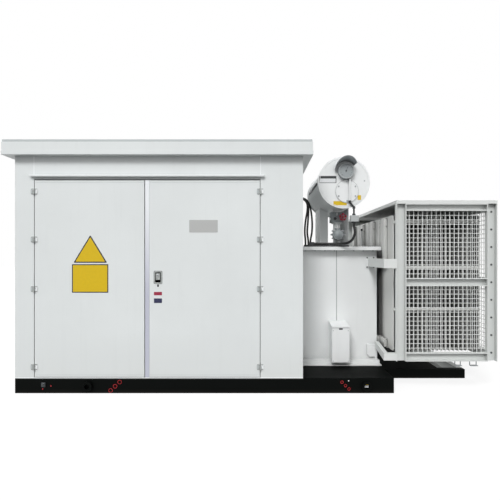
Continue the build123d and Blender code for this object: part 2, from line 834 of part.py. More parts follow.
valve_plane = facing_front(relay_x, relay_y - relay_pipe_radius, valve_centre)
rib_length = 2 * (valve_radius - valve_core_radius)
with BuildPart() as ribbed_valve:
    with BuildSketch(valve_plane):
        Circle(valve_core_radius)
    extrude(amount=valve_length)
    with BuildSketch(valve_plane.offset(valve_rib_setback)):
        Circle(valve_core_radius)
        with PolarLocations(valve_core_radius, valve_ribs):
            Rectangle(rib_length, valve_rib_width)
    extrude(amount=valve_rib_length)
finish(ribbed_valve.part, "ribbed_valve")

# Junction box below the drum's right side, hung from the conduit that comes down from the gauge
junction_x0 = tank_left + junction_inset
junction_x1 = junction_x0 + junction_width
junction_y0 = house_front + junction_setback
junction_y1 = junction_y0 + junction_depth
junction_z0 = lid_top + junction_height_above_lid
junction_z1 = junction_z0 + junction_height
with BuildPart() as junction_box:
    block(junction_x0, junction_x1, junction_y0, junction_y1, junction_z0, junction_z1)
    chamfer(junction_box.faces().sort_by(Axis.Y)[0].edges(), length=junction_edge)
finish(junction_box.part, "junction_box")

conduit_y = (junction_y0 + junction_y1) / 2
conduit_foot_x = junction_x1 - conduit_foot_inset
conduit_head_x = gauge_x + conduit_head_dx
conduit_head_z = gauge_z - math.sqrt(gauge_radius ** 2 - conduit_head_dx ** 2) + 1
conduit_bend_top = conservator_height - conduit_bend_drop
conduit_bend_bottom = conduit_bend_top - conduit_bend_height
conduit_points = (
    (conduit_head_x, conduit_y, conduit_head_z),
    (conduit_head_x, conduit_y, conduit_bend_top),
    (conduit_foot_x, conduit_y, conduit_bend_bottom),
    (conduit_foot_x, conduit_y, junction_z1),
)
with BuildPart() as gauge_conduit:
    with BuildLine() as conduit_line:
        FilletPolyline(*conduit_points, radius=conduit_bend_radius)
    with BuildSketch(Plane(origin=conduit_points[0], z_dir=(0, 0, -1))):
        Circle(conduit_radius)
    sweep(path=conduit_line.wires()[0])
    with BuildSketch(facing_front(gauge_x, conservator_front, gauge_z)):
        Circle(gauge_radius + seat_clearance)
    extrude(amount=2 * gauge_depth, mode=Mode.SUBTRACT)
finish(gauge_conduit.part, "gauge_conduit")

# Radiator banks: upright fins on two headers, tied across their front edges. Straight ducts feed
# each bank from the tank's right side, and they meet the headers and each other at flanges.
first_fin_x = cage_left + first_fin_inset
last_fin_x = first_fin_x + (fin_count - 1) * fin_pitch
fin_x0 = first_fin_x - fin_thickness / 2
fin_x1 = last_fin_x + fin_thickness / 2
header_x0 = fin_x0 - header_end
header_top = fin_top - header_top_inset
header_low = fin_bottom + header_low_inset
first_bank_front = house_front + bank_front_setback
bank_pitch = (cage_rear - bank_rear_setback - first_bank_front + bank_gap) / bank_count
fin_width = bank_pitch - bank_gap
first_bank_y = first_bank_front + fin_width / 2
duct_x1 = header_x0 - flange_gap
duct_x0 = duct_x1 - duct_width
fin_plan = Plane(origin=((first_fin_x + last_fin_x) / 2, first_bank_y, fin_bottom), z_dir=(0, 0, 1))
with BuildPart() as fin_pack:
    with BuildSketch(fin_plan):
        with GridLocations(fin_pitch, 1, fin_count, 1):
            Rectangle(fin_thickness, fin_width)
    extrude(amount=fin_top - fin_bottom)
    with BuildSketch(facing_right(fin_x0, first_bank_y, (fin_bottom + fin_top) / 2)):
        with GridLocations(fin_width, fin_top - fin_bottom, 2, 2):
            Rectangle(fin_corner, fin_corner, rotation=45)
    extrude(amount=fin_x1 - fin_x0, mode=Mode.SUBTRACT)
    for level in tie_levels:
        tie_z0, tie_z1 = level - tie_height / 2, level + tie_height / 2
        block(fin_x0, fin_x1, first_bank_front - tie_thickness, first_bank_front, tie_z0, tie_z1)
    with BuildSketch(facing_right(header_x0, first_bank_y, 0)):
        with Locations((0, header_top), (0, header_low)):
            RegularPolygon(header_radius, 6)
    extrude(amount=fin_x1 - header_x0)

for bank in range(bank_count):
    fins = fin_pack.part.moved(Location((0, bank * bank_pitch, 0)))
    duct_y0 = first_bank_y + bank * bank_pitch - header_radius
    duct_y1 = duct_y0 + 2 * header_radius
    low_z0, low_z1 = header_low - header_radius, header_low + header_radius
    foot_z1 = duct_foot + 2 * header_radius
    with BuildPart() as ducts:
        block(duct_x0, duct_x1, duct_y0, duct_y1, duct_foot, header_top + header_radius)
        if duct_y0 > tank_front:
            # The ducts of a bank beside the tank lead straight to its wall
            block(tank_right, duct_x0 - flange_gap, duct_y0, duct_y1, duct_foot, foot_z1)
            block(tank_right, duct_x1, duct_y0, duct_y1, low_z0, low_z1)
        else:
            # A bank ahead of the tank has ducts that run back along the fins to the wall
            run_y0, run_y1 = duct_y1 + flange_gap, tank_front + 2 * header_radius
            block(duct_x0, duct_x1, run_y0, run_y1, duct_foot, foot_z1)
            block(duct_x0, duct_x1, duct_y0, run_y1, low_z0, low_z1)
            for z0, z1 in ((duct_foot, foot_z1), (low_z0, low_z1)):
                block(tank_right, duct_x0 - flange_gap, tank_front, run_y1, z0, z1)
    finish(Compound(fins.solids() + ducts.part.solids()), "radiator_bank_" + str(bank + 1))

# Cage posts: channels with their flanges outwards
rail_top_limit = cage_top - cage_roof_lip
with BuildPart() as cage_posts:
    for post_x in (cage_left + post_width / 2, cage_right - post_width / 2):
        for face_y, inward in ((cage_front, 1), (cage_rear, -1)):
            web_y = face_y + channel_depth * inward
            post_plane = Plane(
                origin=(post_x, web_y, cage_bottom), x_dir=(-inward, 0, 0), z_dir=(0, 0, 1)
            )
            with BuildSketch(post_plane):
                channel_outline(post_width, channel_depth, channel_wall, channel_wall)
            extrude(amount=rail_top_limit - cage_bottom)
finish(cage_posts.part, "cage_posts")

# Cage rails: three levels on the front, the rear and the right side, with their flanges outwards
rail_levels = (
    (cage_bottom, bottom_rail_height),
    (mid_rail_bottom, mid_rail_height),
    (rail_top_limit - top_rail_height, top_rail_height),
)
rail_x0 = cage_left + post_width
rail_x1 = cage_right - post_width
with BuildPart() as cage_end_rails:
    for face_y, inward in ((cage_front, 1), (cage_rear, -1)):
        for rail_bottom, rail_height in rail_levels:
            rail_plane = Plane(
                origin=(rail_x0, face_y + channel_depth * inward, rail_bottom + rail_height / 2),
                x_dir=(0, 0, 1),
                z_dir=(inward, 0, 0),
            )
            with BuildSketch(rail_plane):
                channel_outline(rail_height, channel_depth, channel_wall, channel_wall)
            extrude(amount=(rail_x1 - rail_x0) * inward)
finish(cage_end_rails.part, "cage_end_rails")

side_y0 = cage_front + channel_depth
side_y1 = cage_rear - channel_depth
with BuildPart() as cage_side_rails:
    for rail_bottom, rail_height in rail_levels:
        rail_plane = Plane(
            origin=(cage_right - channel_depth, side_y0, rail_bottom + rail_height / 2),
            x_dir=(0, 0, 1),
            z_dir=(0, 1, 0),
        )
        with BuildSketch(rail_plane):
            channel_outline(rail_height, channel_depth, channel_wall, channel_wall)
        extrude(amount=side_y1 - side_y0)
finish(cage_side_rails.part, "cage_side_rails")

# Cage roof: a sheet with a lip turned down round its edge
with BuildPart() as cage_roof:
    block(cage_left, cage_right, cage_front, cage_rear, rail_top_limit, cage_top)
    inner_x0, inner_x1 = cage_left + cage_roof_sheet, cage_right - cage_roof_sheet
    inner_y0, inner_y1 = cage_front + cage_roof_sheet, cage_rear - cage_roof_sheet
    with BuildSketch(Plane.XY.offset(rail_top_limit)):
        with Locations(((inner_x0 + inner_x1) / 2, (inner_y0 + inner_y1) / 2)):
            Rectangle(inner_x1 - inner_x0, inner_y1 - inner_y0)
    extrude(amount=cage_roof_lip - cage_roof_sheet, mode=Mode.SUBTRACT)
finish(cage_roof.part, "cage_roof")

# Wire mesh: uprights and cross wires in two windows a side, the cross wires just behind
windows = (
    (cage_bottom + bottom_rail_height, mid_rail_bottom),
    (mid_rail_bottom + mid_rail_height, rail_top_limit - top_rail_height),
)


def mesh_panel(corner, along, inward, length):
    """Makes the wires of both windows on one side, from its corner on the ground."""
    wire_depth = (wire + wire_gap) / 2
    upright_count = int(length / mesh_pitch)
    with BuildPart() as panel:
        for low, high in windows:
            plan = Plane(origin=corner + Vector(0, 0, low), x_dir=along, z_dir=(0, 0, 1))
            with BuildSketch(plan):
                with Locations((length / 2, -wire_depth)):
                    with GridLocations(mesh_pitch, 1, upright_count, 1):
                        Rectangle(wire, wire)
            extrude(amount=high - low)
            cross_count = int((high - low) / mesh_pitch)
            with BuildSketch(Plane(origin=corner, x_dir=inward, z_dir=along)):
                with Locations((wire_depth, (low + high) / 2)):
                    with GridLocations(1, mesh_pitch, 1, cross_count):
                        Rectangle(wire, wire)
            extrude(amount=length)
    return panel.part


mesh_inset = channel_depth - channel_wall / 2
end_length = rail_x1 - rail_x0
side_length = side_y1 - side_y0
front_corner = Vector(rail_x0, cage_front + mesh_inset, 0)
rear_corner = Vector(rail_x1, cage_rear - mesh_inset, 0)
side_corner = Vector(cage_right - mesh_inset, side_y0, 0)
finish(mesh_panel(front_corner, (1, 0, 0), (0, 1, 0), end_length), "cage_front_mesh")
finish(mesh_panel(rear_corner, (-1, 0, 0), (0, -1, 0), end_length), "cage_rear_mesh")
finish(mesh_panel(side_corner, (0, 1, 0), (-1, 0, 0), side_length), "cage_side_mesh")

# Arms that carry the cage: out of its left posts, then back to the tank
arm_left = cage_left - arm_left_reach
arm_right = arm_left + arm_thickness
lower_arm_end = tank_right - arm_thickness / 2
with BuildPart() as cage_arms:
    for face_y, inward, tank_y, plate_y in (
        (cage_front, 1, tank_front, tank_front - jack_thickness),
        (cage_rear, -1, tank_rear, tank_rear + jack_thickness),
    ):
        inner_y = face_y + arm_thickness * inward
        with BuildSketch(Plane.XY.offset(upper_arm_bottom)):
            Polygon(
                (cage_left, face_y), (arm_left, face_y), (arm_left, tank_y),
                (arm_right, tank_y), (arm_right, inner_y), (cage_left, inner_y), align=None,
            )
        extrude(amount=arm_height)
        with BuildSketch(Plane.XY.offset(lower_arm_bottom)):
            Polygon(
                (cage_left, face_y), (arm_left, face_y), (lower_arm_end, plate_y),
                (lower_arm_end + arm_foot_width, plate_y),
                (arm_right, inner_y), (cage_left, inner_y), align=None,
            )
        extrude(amount=lower_arm_height)
finish(cage_arms.part, "cage_arms")

# Tray on the lid under the hose
tray_x0 = tank_left + tray_left_inset
tray_x1 = tank_right - tray_right_inset
tray_y0 = tank_front - lid_margin_y + tray_lid_inset
with BuildPart() as hose_tray:
    block(tray_x0, tray_x1, tray_y0, tray_y0 + tray_width, lid_top, lid_top + tray_height)
finish(hose_tray.part, "hose_tray")

# Cords: each route is a list of points, and its tube is straight runs joined by arcs


def corner_radii(points):
    """Gives each corner its radius from its shorter run and its turn."""
    radii = []
    for before, corner, after in zip(points, points[1:], points[2:]):
        run_in = Vector(*corner) - Vector(*before)
        run_out = Vector(*after) - Vector(*corner)
        turn = math.radians(run_in.get_angle(run_out))
        shorter = min(run_in.length, run_out.length)
        radii.append(0.45 * shorter / math.tan(turn / 2))
    return radii


cord_routes = {
    "lid_hose": (hose_diameter, hose_route),
    "cable_front": (cable_diameter, cable_front_route),
    "cable_middle": (cable_diameter, cable_middle_route),
    "cable_rear": (cable_diameter, cable_rear_route),
}
for cord_name, (diameter, route) in cord_routes.items():
    radii = corner_radii(route)
    start = Vector(*route[0])
    direction = Vector(*route[1]) - start
    with BuildPart() as cord:
        with BuildLine() as cord_line:
            FilletPolyline(*route, radius=radii)
        with BuildSketch(Plane(origin=start, z_dir=direction)):
            Circle(diameter / 2)
        sweep(path=cord_line.wires()[0])
    line_length = cord_line.wires()[0].length
    ideal = math.pi * diameter ** 2 / 4 * line_length
    smallest = min(radii) / diameter
    print(cord_name, "length", round(line_length), "volume ratio", round(cord.part.volume / ideal, 4))
    print("  radii in diameters", [round(radius / diameter, 1) for radius in radii], round(smallest, 1))
    finish(cord.part, cord_name)

# Glands: where the cables leave the house and enter the lid, and at the hose's two ends
with BuildPart() as cable_glands:
    for setback, drop in wall_gland_places:
        with BuildSketch(facing_right(house_right, house_front + setback, wall_top - drop)):
            Circle(gland_radius)
        extrude(amount=wall_gland_length)
    with BuildSketch(Plane.XY.offset(lid_top)):
        for inset_x, inset_y in lid_gland_places:
            with Locations((tank_left + inset_x, tank_front + inset_y)):
                Circle(gland_radius)
    extrude(amount=lid_gland_height)
finish(cable_glands.part, "cable_glands")

tray_top = lid_top + tray_height
with BuildPart() as hose_fittings:
    with BuildSketch(Plane(origin=(conduit_foot_x, conduit_y, junction_z0), z_dir=(0, 0, -1))):
        Circle(gland_radius)
    extrude(amount=hose_gland_length)
    fitting_x0 = tray_x0 + hose_fitting_inset
    fitting_y0 = tray_y0 + (tray_width - hose_fitting_width) / 2
    block(
        fitting_x0, fitting_x0 + hose_fitting_length, fitting_y0, fitting_y0 + hose_fitting_width,
        tray_top, tray_top + hose_fitting_height,
    )
finish(hose_fittings.part, "hose_fittings")
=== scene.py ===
import json
import math

import bmesh
import bpy
from mathutils import Matrix, Vector


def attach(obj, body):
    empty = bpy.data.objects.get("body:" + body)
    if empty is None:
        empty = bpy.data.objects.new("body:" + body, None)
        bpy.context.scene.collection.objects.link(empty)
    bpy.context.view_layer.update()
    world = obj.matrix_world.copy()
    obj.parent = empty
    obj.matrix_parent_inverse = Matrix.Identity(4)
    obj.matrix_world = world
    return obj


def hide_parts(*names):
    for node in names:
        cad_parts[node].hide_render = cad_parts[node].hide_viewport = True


# Looks of the compact substation: materials, cords, fasteners, plates, dial, flutes, light, camera.
# Metres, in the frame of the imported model: +X right, the doors face -Y, the ground is z = 0.

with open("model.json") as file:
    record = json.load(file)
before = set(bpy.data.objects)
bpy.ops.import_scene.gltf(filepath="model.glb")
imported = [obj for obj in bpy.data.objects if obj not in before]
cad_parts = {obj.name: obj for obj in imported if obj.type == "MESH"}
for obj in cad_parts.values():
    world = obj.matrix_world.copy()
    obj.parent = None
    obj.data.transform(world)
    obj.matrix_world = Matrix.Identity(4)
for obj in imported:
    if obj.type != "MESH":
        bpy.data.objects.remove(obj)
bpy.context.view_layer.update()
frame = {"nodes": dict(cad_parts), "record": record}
nodes = frame["nodes"]


# Mesh helpers


def piece(name, mesh, material, body="root", smooth=None):
    """Makes one object from a bmesh, gives it its material and lets it ride on a body."""
    bmesh.ops.recalc_face_normals(mesh, faces=mesh.faces)
    data = bpy.data.meshes.new(name)
    mesh.to_mesh(data)
    mesh.free()
    made = bpy.data.objects.new(name, data)
    bpy.context.scene.collection.objects.link(made)
    data.materials.append(material)
    if smooth is not None:
        data.shade_smooth()
        data.set_sharp_from_angle(angle=math.radians(smooth))
    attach(made, body)
    return made


def add_box(mesh, low, high, bevel=0.0):
    """Adds a block between two corners, with its edges broken where a bevel is given."""
    size = Vector(high) - Vector(low)
    centre = (Vector(high) + Vector(low)) / 2
    place = Matrix.Translation(centre) @ Matrix.Diagonal((*size, 1))
    made = bmesh.ops.create_cube(mesh, size=1, matrix=place)
    if bevel:
        edges = {edge for vert in made["verts"] for edge in vert.link_edges}
        bmesh.ops.bevel(mesh, geom=list(edges), offset=bevel, segments=2, affect="EDGES", profile=0.5)


def facing(direction):
    """Gives the rotation that turns +Z to a direction."""
    return Vector((0, 0, 1)).rotation_difference(Vector(direction)).to_matrix().to_4x4()


def add_disc(mesh, centre, direction, profile, sides=24, turn=0.0):
    """Turns a profile of (distance along, radius) points round an axis and closes its ends."""
    place = Matrix.Translation(Vector(centre)) @ facing(direction) @ Matrix.Rotation(turn, 4, "Z")
    rings = []
    for along, radius in profile:
        ring = []
        for index in range(sides):
            angle = 2 * math.pi * index / sides
            point = Vector((radius * math.cos(angle), radius * math.sin(angle), along))
            ring.append(mesh.verts.new(place @ point))
        rings.append(ring)
    for lower, upper in zip(rings, rings[1:]):
        for index in range(sides):
            after = (index + 1) % sides
            mesh.faces.new((lower[index], lower[after], upper[after], upper[index]))
    mesh.faces.new(tuple(reversed(rings[0])))
    mesh.faces.new(tuple(rings[-1]))


def add_bolt(mesh, centre, direction, width, turn=0.0):
    """Adds a washer and a hexagon head that stand on a surface."""
    washer = 0.1 * width
    add_disc(mesh, centre, direction, ((0, 0.62 * width), (washer, 0.6 * width)), sides=14)
    head = (
        (washer, 0.5 * width), (washer + 0.42 * width, 0.5 * width), (washer + 0.5 * width, 0.42 * width),
    )
    add_disc(mesh, centre, direction, head, sides=6, turn=turn)


def add_screw(mesh, centre, direction, radius):
    """Adds a low domed screw or rivet head."""
    dome = ((0, radius), (0.35 * radius, 0.85 * radius), (0.5 * radius, 0.45 * radius))
    add_disc(mesh, centre, direction, dome, sides=12)


def add_ring(mesh, centre, direction, radius, tube, turns=40, sides=8):
    """Adds a ring of round section."""
    place = Matrix.Translation(Vector(centre)) @ facing(direction)
    grid = []
    for step in range(turns):
        angle = 2 * math.pi * step / turns
        row = []
        for side in range(sides):
            spin = 2 * math.pi * side / sides
            reach = radius + tube * math.cos(spin)
            point = Vector((reach * math.cos(angle), reach * math.sin(angle), tube * math.sin(spin)))
            row.append(mesh.verts.new(place @ point))
        grid.append(row)
    for step in range(turns):
        for side in range(sides):
            after, up = (step + 1) % turns, (side + 1) % sides
            mesh.faces.new((grid[step][side], grid[after][side], grid[after][up], grid[step][up]))


def add_outline(mesh, points, thickness_vector):
    """Adds a flat plate from an outline of points and a vector through its thickness."""
    back = [mesh.verts.new(Vector(point)) for point in points]
    front = [mesh.verts.new(Vector(point) + Vector(thickness_vector)) for point in points]
    mesh.faces.new(back)
    mesh.faces.new(list(reversed(front)))
    for index in range(len(points)):
        after = (index + 1) % len(points)
        mesh.faces.new((back[index], front[index], front[after], back[after]))


def rounded(width, height, radius, steps=5):
    """Gives the outline of a rectangle with round corners, as (x, z) steps from its centre."""
    points = []
    for corner, (sign_x, sign_z) in enumerate(((1, 1), (-1, 1), (-1, -1), (1, -1))):
        for step in range(steps + 1):
            angle = math.pi / 2 * (corner + step / steps)
            x = sign_x * (width / 2 - radius) + radius * math.cos(angle)
            z = sign_z * (height / 2 - radius) + radius * math.sin(angle)
            points.append((x, z))
    return points


def front_plate(mesh, x, y, z, width, height, thickness, radius):
    """Adds a plate with round corners on a surface that faces -Y."""
    outline = [(x + dx, y, z + dz) for dx, dz in rounded(width, height, radius)]
    add_outline(mesh, outline, (0, -thickness, 0))


# Materials


def linear(red, green, blue):
    """Turns a colour as seen on a screen, 0 to 255, into a linear one."""
    values = []
    for part in (red, green, blue):
        share = part / 255
        values.append(share / 12.92 if share <= 0.04045 else ((share + 0.055) / 1.055) ** 2.4)
    return (*values, 1.0)


class Surface:
    """A material being made: one shader, and the textures that drive it, in metres."""

    def __init__(self, name, roughness=0.5, metallic=0.0):
        self.material = bpy.data.materials.new(name)
        self.material.use_nodes = True
        self.tree = self.material.node_tree
        self.shader = self.tree.nodes["Principled BSDF"]
        self.shader.inputs["Roughness"].default_value = roughness
        self.shader.inputs["Metallic"].default_value = metallic
        self.coordinates = self.tree.nodes.new("ShaderNodeTexCoord").outputs["Object"]
        self.normal = None

    def link(self, source, target):
        self.tree.links.new(source, target)

    def noise(self, scale, detail=4.0, stretch=(1, 1, 1)):
        """A noise pattern with so many waves to the metre, drawn out along an axis by stretch."""
        mapping = self.tree.nodes.new("ShaderNodeMapping")
        mapping.inputs["Scale"].default_value = stretch
        self.link(self.coordinates, mapping.inputs["Vector"])
        texture = self.tree.nodes.new("ShaderNodeTexNoise")
        texture.inputs["Scale"].default_value = scale
        texture.inputs["Detail"].default_value = detail
        texture.inputs["Roughness"].default_value = 0.6
        self.link(mapping.outputs["Vector"], texture.inputs["Vector"])
        return texture.outputs["Fac"]

    def cells(self, scale):
        """Patches of one tone each, such as the spangle of hot zinc."""
        texture = self.tree.nodes.new("ShaderNodeTexVoronoi")
        texture.inputs["Scale"].default_value = scale
        self.link(self.coordinates, texture.inputs["Vector"])
        split = self.tree.nodes.new("ShaderNodeSeparateColor")
        self.link(texture.outputs["Color"], split.inputs["Color"])
        return split.outputs["Red"]

    def height(self, low, high):
        """A ramp over the object's height, 1 at low and 0 at high."""
        split = self.tree.nodes.new("ShaderNodeSeparateXYZ")
        self.link(self.coordinates, split.inputs["Vector"])
        return self.span(split.outputs["Z"], low, high, 1.0, 0.0)

    def span(self, source, low, high, out_low=0.0, out_high=1.0):
        """Maps a range of a pattern to another, and holds it there."""
        node = self.tree.nodes.new("ShaderNodeMapRange")
        for name, value in (("From Min", low), ("From Max", high), ("To Min", out_low), ("To Max", out_high)):
            node.inputs[name].default_value = value
        self.link(source, node.inputs["Value"])
        return node.outputs["Result"]

    def times(self, first, second):
        """Multiplies two patterns, or a pattern and a number."""
        node = self.tree.nodes.new("ShaderNodeMath")
        node.operation = "MULTIPLY"
        self.link(first, node.inputs[0])
        if isinstance(second, float):
            node.inputs[1].default_value = second
        else:
            self.link(second, node.inputs[1])
        return node.outputs["Value"]

    def mix(self, share, first, second):
        """Mixes two colours by a pattern; a colour is a value or the output of another mix."""
        node = self.tree.nodes.new("ShaderNodeMix")
        node.data_type = "RGBA"
        self.link(share, node.inputs["Factor"])
        for value, name in ((first, "A"), (second, "B")):
            socket = next(s for s in node.inputs if s.name == name and s.type == "RGBA")
            if isinstance(value, tuple):
                socket.default_value = value
            else:
                self.link(value, socket)
        return next(s for s in node.outputs if s.type == "RGBA")

    def colour(self, source):
        self.link(source, self.shader.inputs["Base Color"])

    def roughness(self, source):
        self.link(source, self.shader.inputs["Roughness"])

    def soft_edges(self, radius):
        """Rounds the look of sharp edges, and gives the share of edge at each point."""
        bevel = self.tree.nodes.new("ShaderNodeBevel")
        bevel.samples = 4
        bevel.inputs["Radius"].default_value = radius
        self.normal = bevel.outputs["Normal"]
        true_normal = self.tree.nodes.new("ShaderNodeNewGeometry").outputs["Normal"]
        compare = self.tree.nodes.new("ShaderNodeVectorMath")
        compare.operation = "DOT_PRODUCT"
        self.link(self.normal, compare.inputs[0])
        self.link(true_normal, compare.inputs[1])
        flat, sharp = 0.98, 0.86
        return self.span(compare.outputs["Value"], flat, sharp)

    def recess(self, reach):
        """How closely a point is walled in, from 0 in the open to 1 in a narrow gap or a corner."""
        around = self.tree.nodes.new("ShaderNodeAmbientOcclusion")
        around.samples = 8
        around.inputs["Distance"].default_value = reach
        in_the_open, walled_in = 0.78, 0.22
        return self.span(around.outputs["AO"], in_the_open, walled_in)

    def bump(self, source, distance, strength=1.0):
        """Adds relief of a given depth in metres."""
        node = self.tree.nodes.new("ShaderNodeBump")
        node.inputs["Distance"].default_value = distance
        node.inputs["Strength"].default_value = strength
        self.link(source, node.inputs["Height"])
        if self.normal:
            self.link(self.normal, node.inputs["Normal"])
        self.normal = node.outputs["Normal"]
        self.link(self.normal, self.shader.inputs["Normal"])


def shade(colour, factor):
    """Gives a darker or lighter copy of a linear colour."""
    return (*(min(part * factor, 1.0) for part in colour[:3]), 1.0)


dust_tone = linear(158, 152, 140)
bare_steel = linear(150, 152, 152)
bright_zinc = linear(214, 216, 216)


def painted(name, colour, roughness=0.42, dirt=0.25, grime=(0.16, 0.60), specular=0.5, painted_shade_strength=0.6):
    """Powder-coated steel: fine peel, faint streaks, dust low down, worn edges, and painted shade that
    darkens it where other surfaces stand close.
    """
    surface = Surface(name, roughness)
    surface.shader.inputs["Specular IOR Level"].default_value = specular
    edges = surface.soft_edges(radius=0.003)
    tone = surface.noise(scale=1.1, detail=5.0)
    streaks = surface.noise(scale=1.0, detail=6.0, stretch=(16, 16, 0.8))
    specks = surface.noise(scale=160.0, detail=3.0)
    even = surface.mix(surface.span(tone, 0.35, 0.7), shade(colour, 0.97), shade(colour, 1.02))
    streaked = surface.mix(
        surface.times(surface.span(streaks, 0.55, 0.8), 0.5 * dirt), even, shade(colour, 0.72)
    )
    dust = surface.times(surface.height(*grime), surface.span(tone, 0.3, 0.65))
    dusty = surface.mix(surface.times(dust, 0.6 * dirt), streaked, dust_tone)
    flecked = surface.mix(
        surface.times(surface.span(specks, 0.66, 0.72), 0.5 * dirt), dusty, shade(colour, 0.6)
    )
    worn = surface.times(edges, surface.span(surface.noise(scale=35.0, detail=5.0), 0.5, 0.62))
    used = surface.mix(surface.times(worn, 0.35 * dirt), flecked, bare_steel)
    # Painted shade: the colour darkens towards a tenth of its tone where other surfaces stand within 150 mm,
    # as between fins and in corners.
    painted_shade_share = surface.times(surface.recess(reach=0.15), painted_shade_strength)
    surface.colour(surface.mix(painted_shade_share, used, shade(colour, 0.10)))
    surface.roughness(surface.span(tone, 0.3, 0.7, roughness - 0.06, roughness + 0.08))
    surface.bump(surface.noise(scale=2.2, detail=2.0), distance=0.0006)
    surface.bump(surface.noise(scale=420.0, detail=2.0), distance=0.00012)
    return surface.material


def zinc(name, colour, spangle=60.0, metallic=0.55):
    """Galvanised steel: spangle, a dull sheen and grey stains."""
    surface = Surface(name, roughness=0.45, metallic=metallic)
    edges = surface.soft_edges(radius=0.001)
    patches = surface.cells(scale=spangle)
    stains = surface.noise(scale=9.0, detail=5.0)
    base = surface.mix(patches, shade(colour, 0.86), shade(colour, 1.08))
    stained = surface.mix(surface.times(surface.span(stains, 0.5, 0.75), 0.35), base, shade(colour, 0.55))
    surface.colour(surface.mix(surface.times(edges, 0.3), stained, bright_zinc))
    surface.roughness(surface.span(patches, 0.0, 1.0, 0.34, 0.52))
    surface.bump(surface.noise(scale=300.0, detail=2.0), distance=0.00008)
    return surface.material


def rubber(name, colour, roughness=0.5):
    """Black sheathing: faint mould grain, dust in patches and a dull sheen."""
    surface = Surface(name, roughness)
    dust = surface.noise(scale=26.0, detail=4.0)
    surface.colour(surface.mix(surface.span(dust, 0.5, 0.75, 0.0, 0.35), colour, shade(colour, 3.2)))
    surface.roughness(surface.span(dust, 0.3, 0.7, roughness - 0.08, roughness + 0.12))
    surface.bump(surface.noise(scale=900.0, detail=2.0), distance=0.00006)
    return surface.material


def brushed(name, colour, direction=(1, 60, 60)):
    """Brushed plate: fine scratches along one direction."""
    surface = Surface(name, roughness=0.38, metallic=0.5)
    scratches = surface.noise(scale=14.0, detail=6.0, stretch=direction)
    surface.colour(surface.mix(scratches, shade(colour, 0.9), shade(colour, 1.08)))
    surface.roughness(surface.span(scratches, 0.3, 0.7, 0.28, 0.46))
    surface.bump(scratches, distance=0.00004)
    return surface.material


def enamel(name, colour, roughness=0.35):
    """Small printed or enamelled plate: an even tone, faint mottling and fine grain."""
    surface = Surface(name, roughness)
    mottle = surface.noise(scale=40.0, detail=4.0)
    surface.colour(surface.mix(mottle, shade(colour, 0.9), shade(colour, 1.06)))
    surface.roughness(surface.span(mottle, 0.3, 0.7, roughness - 0.05, roughness + 0.1))
    surface.bump(surface.noise(scale=500.0, detail=2.0), distance=0.00005)
    return surface.material


def strip_paint():
    """Cover strip of the doors: painted light and shade, lighter at the top and bluer and darker towards the
    bottom.
    """
    surface = Surface("strip_paint", roughness=0.35)
    surface.soft_edges(radius=0.001)
    upper, lower, flecks = linear(240, 243, 246), linear(192, 194, 208), linear(178, 180, 192)
    share = surface.height(1.0, 1.9)
    grain = surface.noise(scale=90.0, detail=3.0)
    # Painted light and shade: the strip blends from the light upper tone down to the bluer, darker lower one.
    tone = surface.mix(share, upper, lower)
    surface.colour(surface.mix(surface.times(grain, 0.12), tone, flecks))
    surface.roughness(surface.span(grain, 0.3, 0.7, 0.30, 0.42))
    surface.bump(surface.noise(scale=420.0, detail=2.0), distance=0.00012)
    return surface.material


house_white = linear(222, 226, 226)
tank_grey = linear(234, 236, 236)
cage_grey = linear(218, 221, 219)

# Each paint's painted shade strength below sets how far it darkens where other surfaces stand close; the
# radiators get the most.
slot_materials = {
    "house_paint": painted("house_paint", house_white, painted_shade_strength=0.4),
    "strip_paint": strip_paint(),
    "stop_paint": painted("stop_paint", linear(150, 153, 155)),
    "floor_steel": painted("floor_steel", linear(120, 124, 126), roughness=0.55, dirt=0.7),
    "skid_black": painted(
        "skid_black", linear(5, 7, 6), roughness=0.6, dirt=0.05, grime=(0.0, 0.05), specular=0.05
    ),
    "galvanised_steel": zinc("galvanised_steel", linear(158, 162, 160)),
    "tank_paint": painted("tank_paint", tank_grey, grime=(0.15, 0.35), painted_shade_strength=0.35),
    "relay_grey": painted("relay_grey", linear(140, 146, 148), roughness=0.5, dirt=0.8),
    "gauge_body": painted("gauge_body", linear(184, 190, 194), roughness=0.35),
    "handwheel_red": enamel("handwheel_red", linear(178, 36, 62)),
    "fitting_grey": painted("fitting_grey", linear(176, 180, 180), roughness=0.5, dirt=0.6),
    "conduit_black": rubber("conduit_black", linear(40, 42, 44)),
    "cable_black": rubber("cable_black", linear(18, 19, 20)),
    "radiator_paint": painted("radiator_paint", linear(222, 223, 220), grime=(0.3, 0.6), painted_shade_strength=0.9),
    "cage_paint": painted("cage_paint", cage_grey, grime=(0.1, 0.3), painted_shade_strength=0.35),
    "mesh_zinc": zinc("mesh_zinc", linear(232, 234, 232), spangle=120.0, metallic=0.2),
}

for subpart in frame["record"]["subparts"]:
    node = nodes[subpart["node"]]
    node.data.materials.clear()
    node.data.materials.append(slot_materials[subpart["material_slot"]])

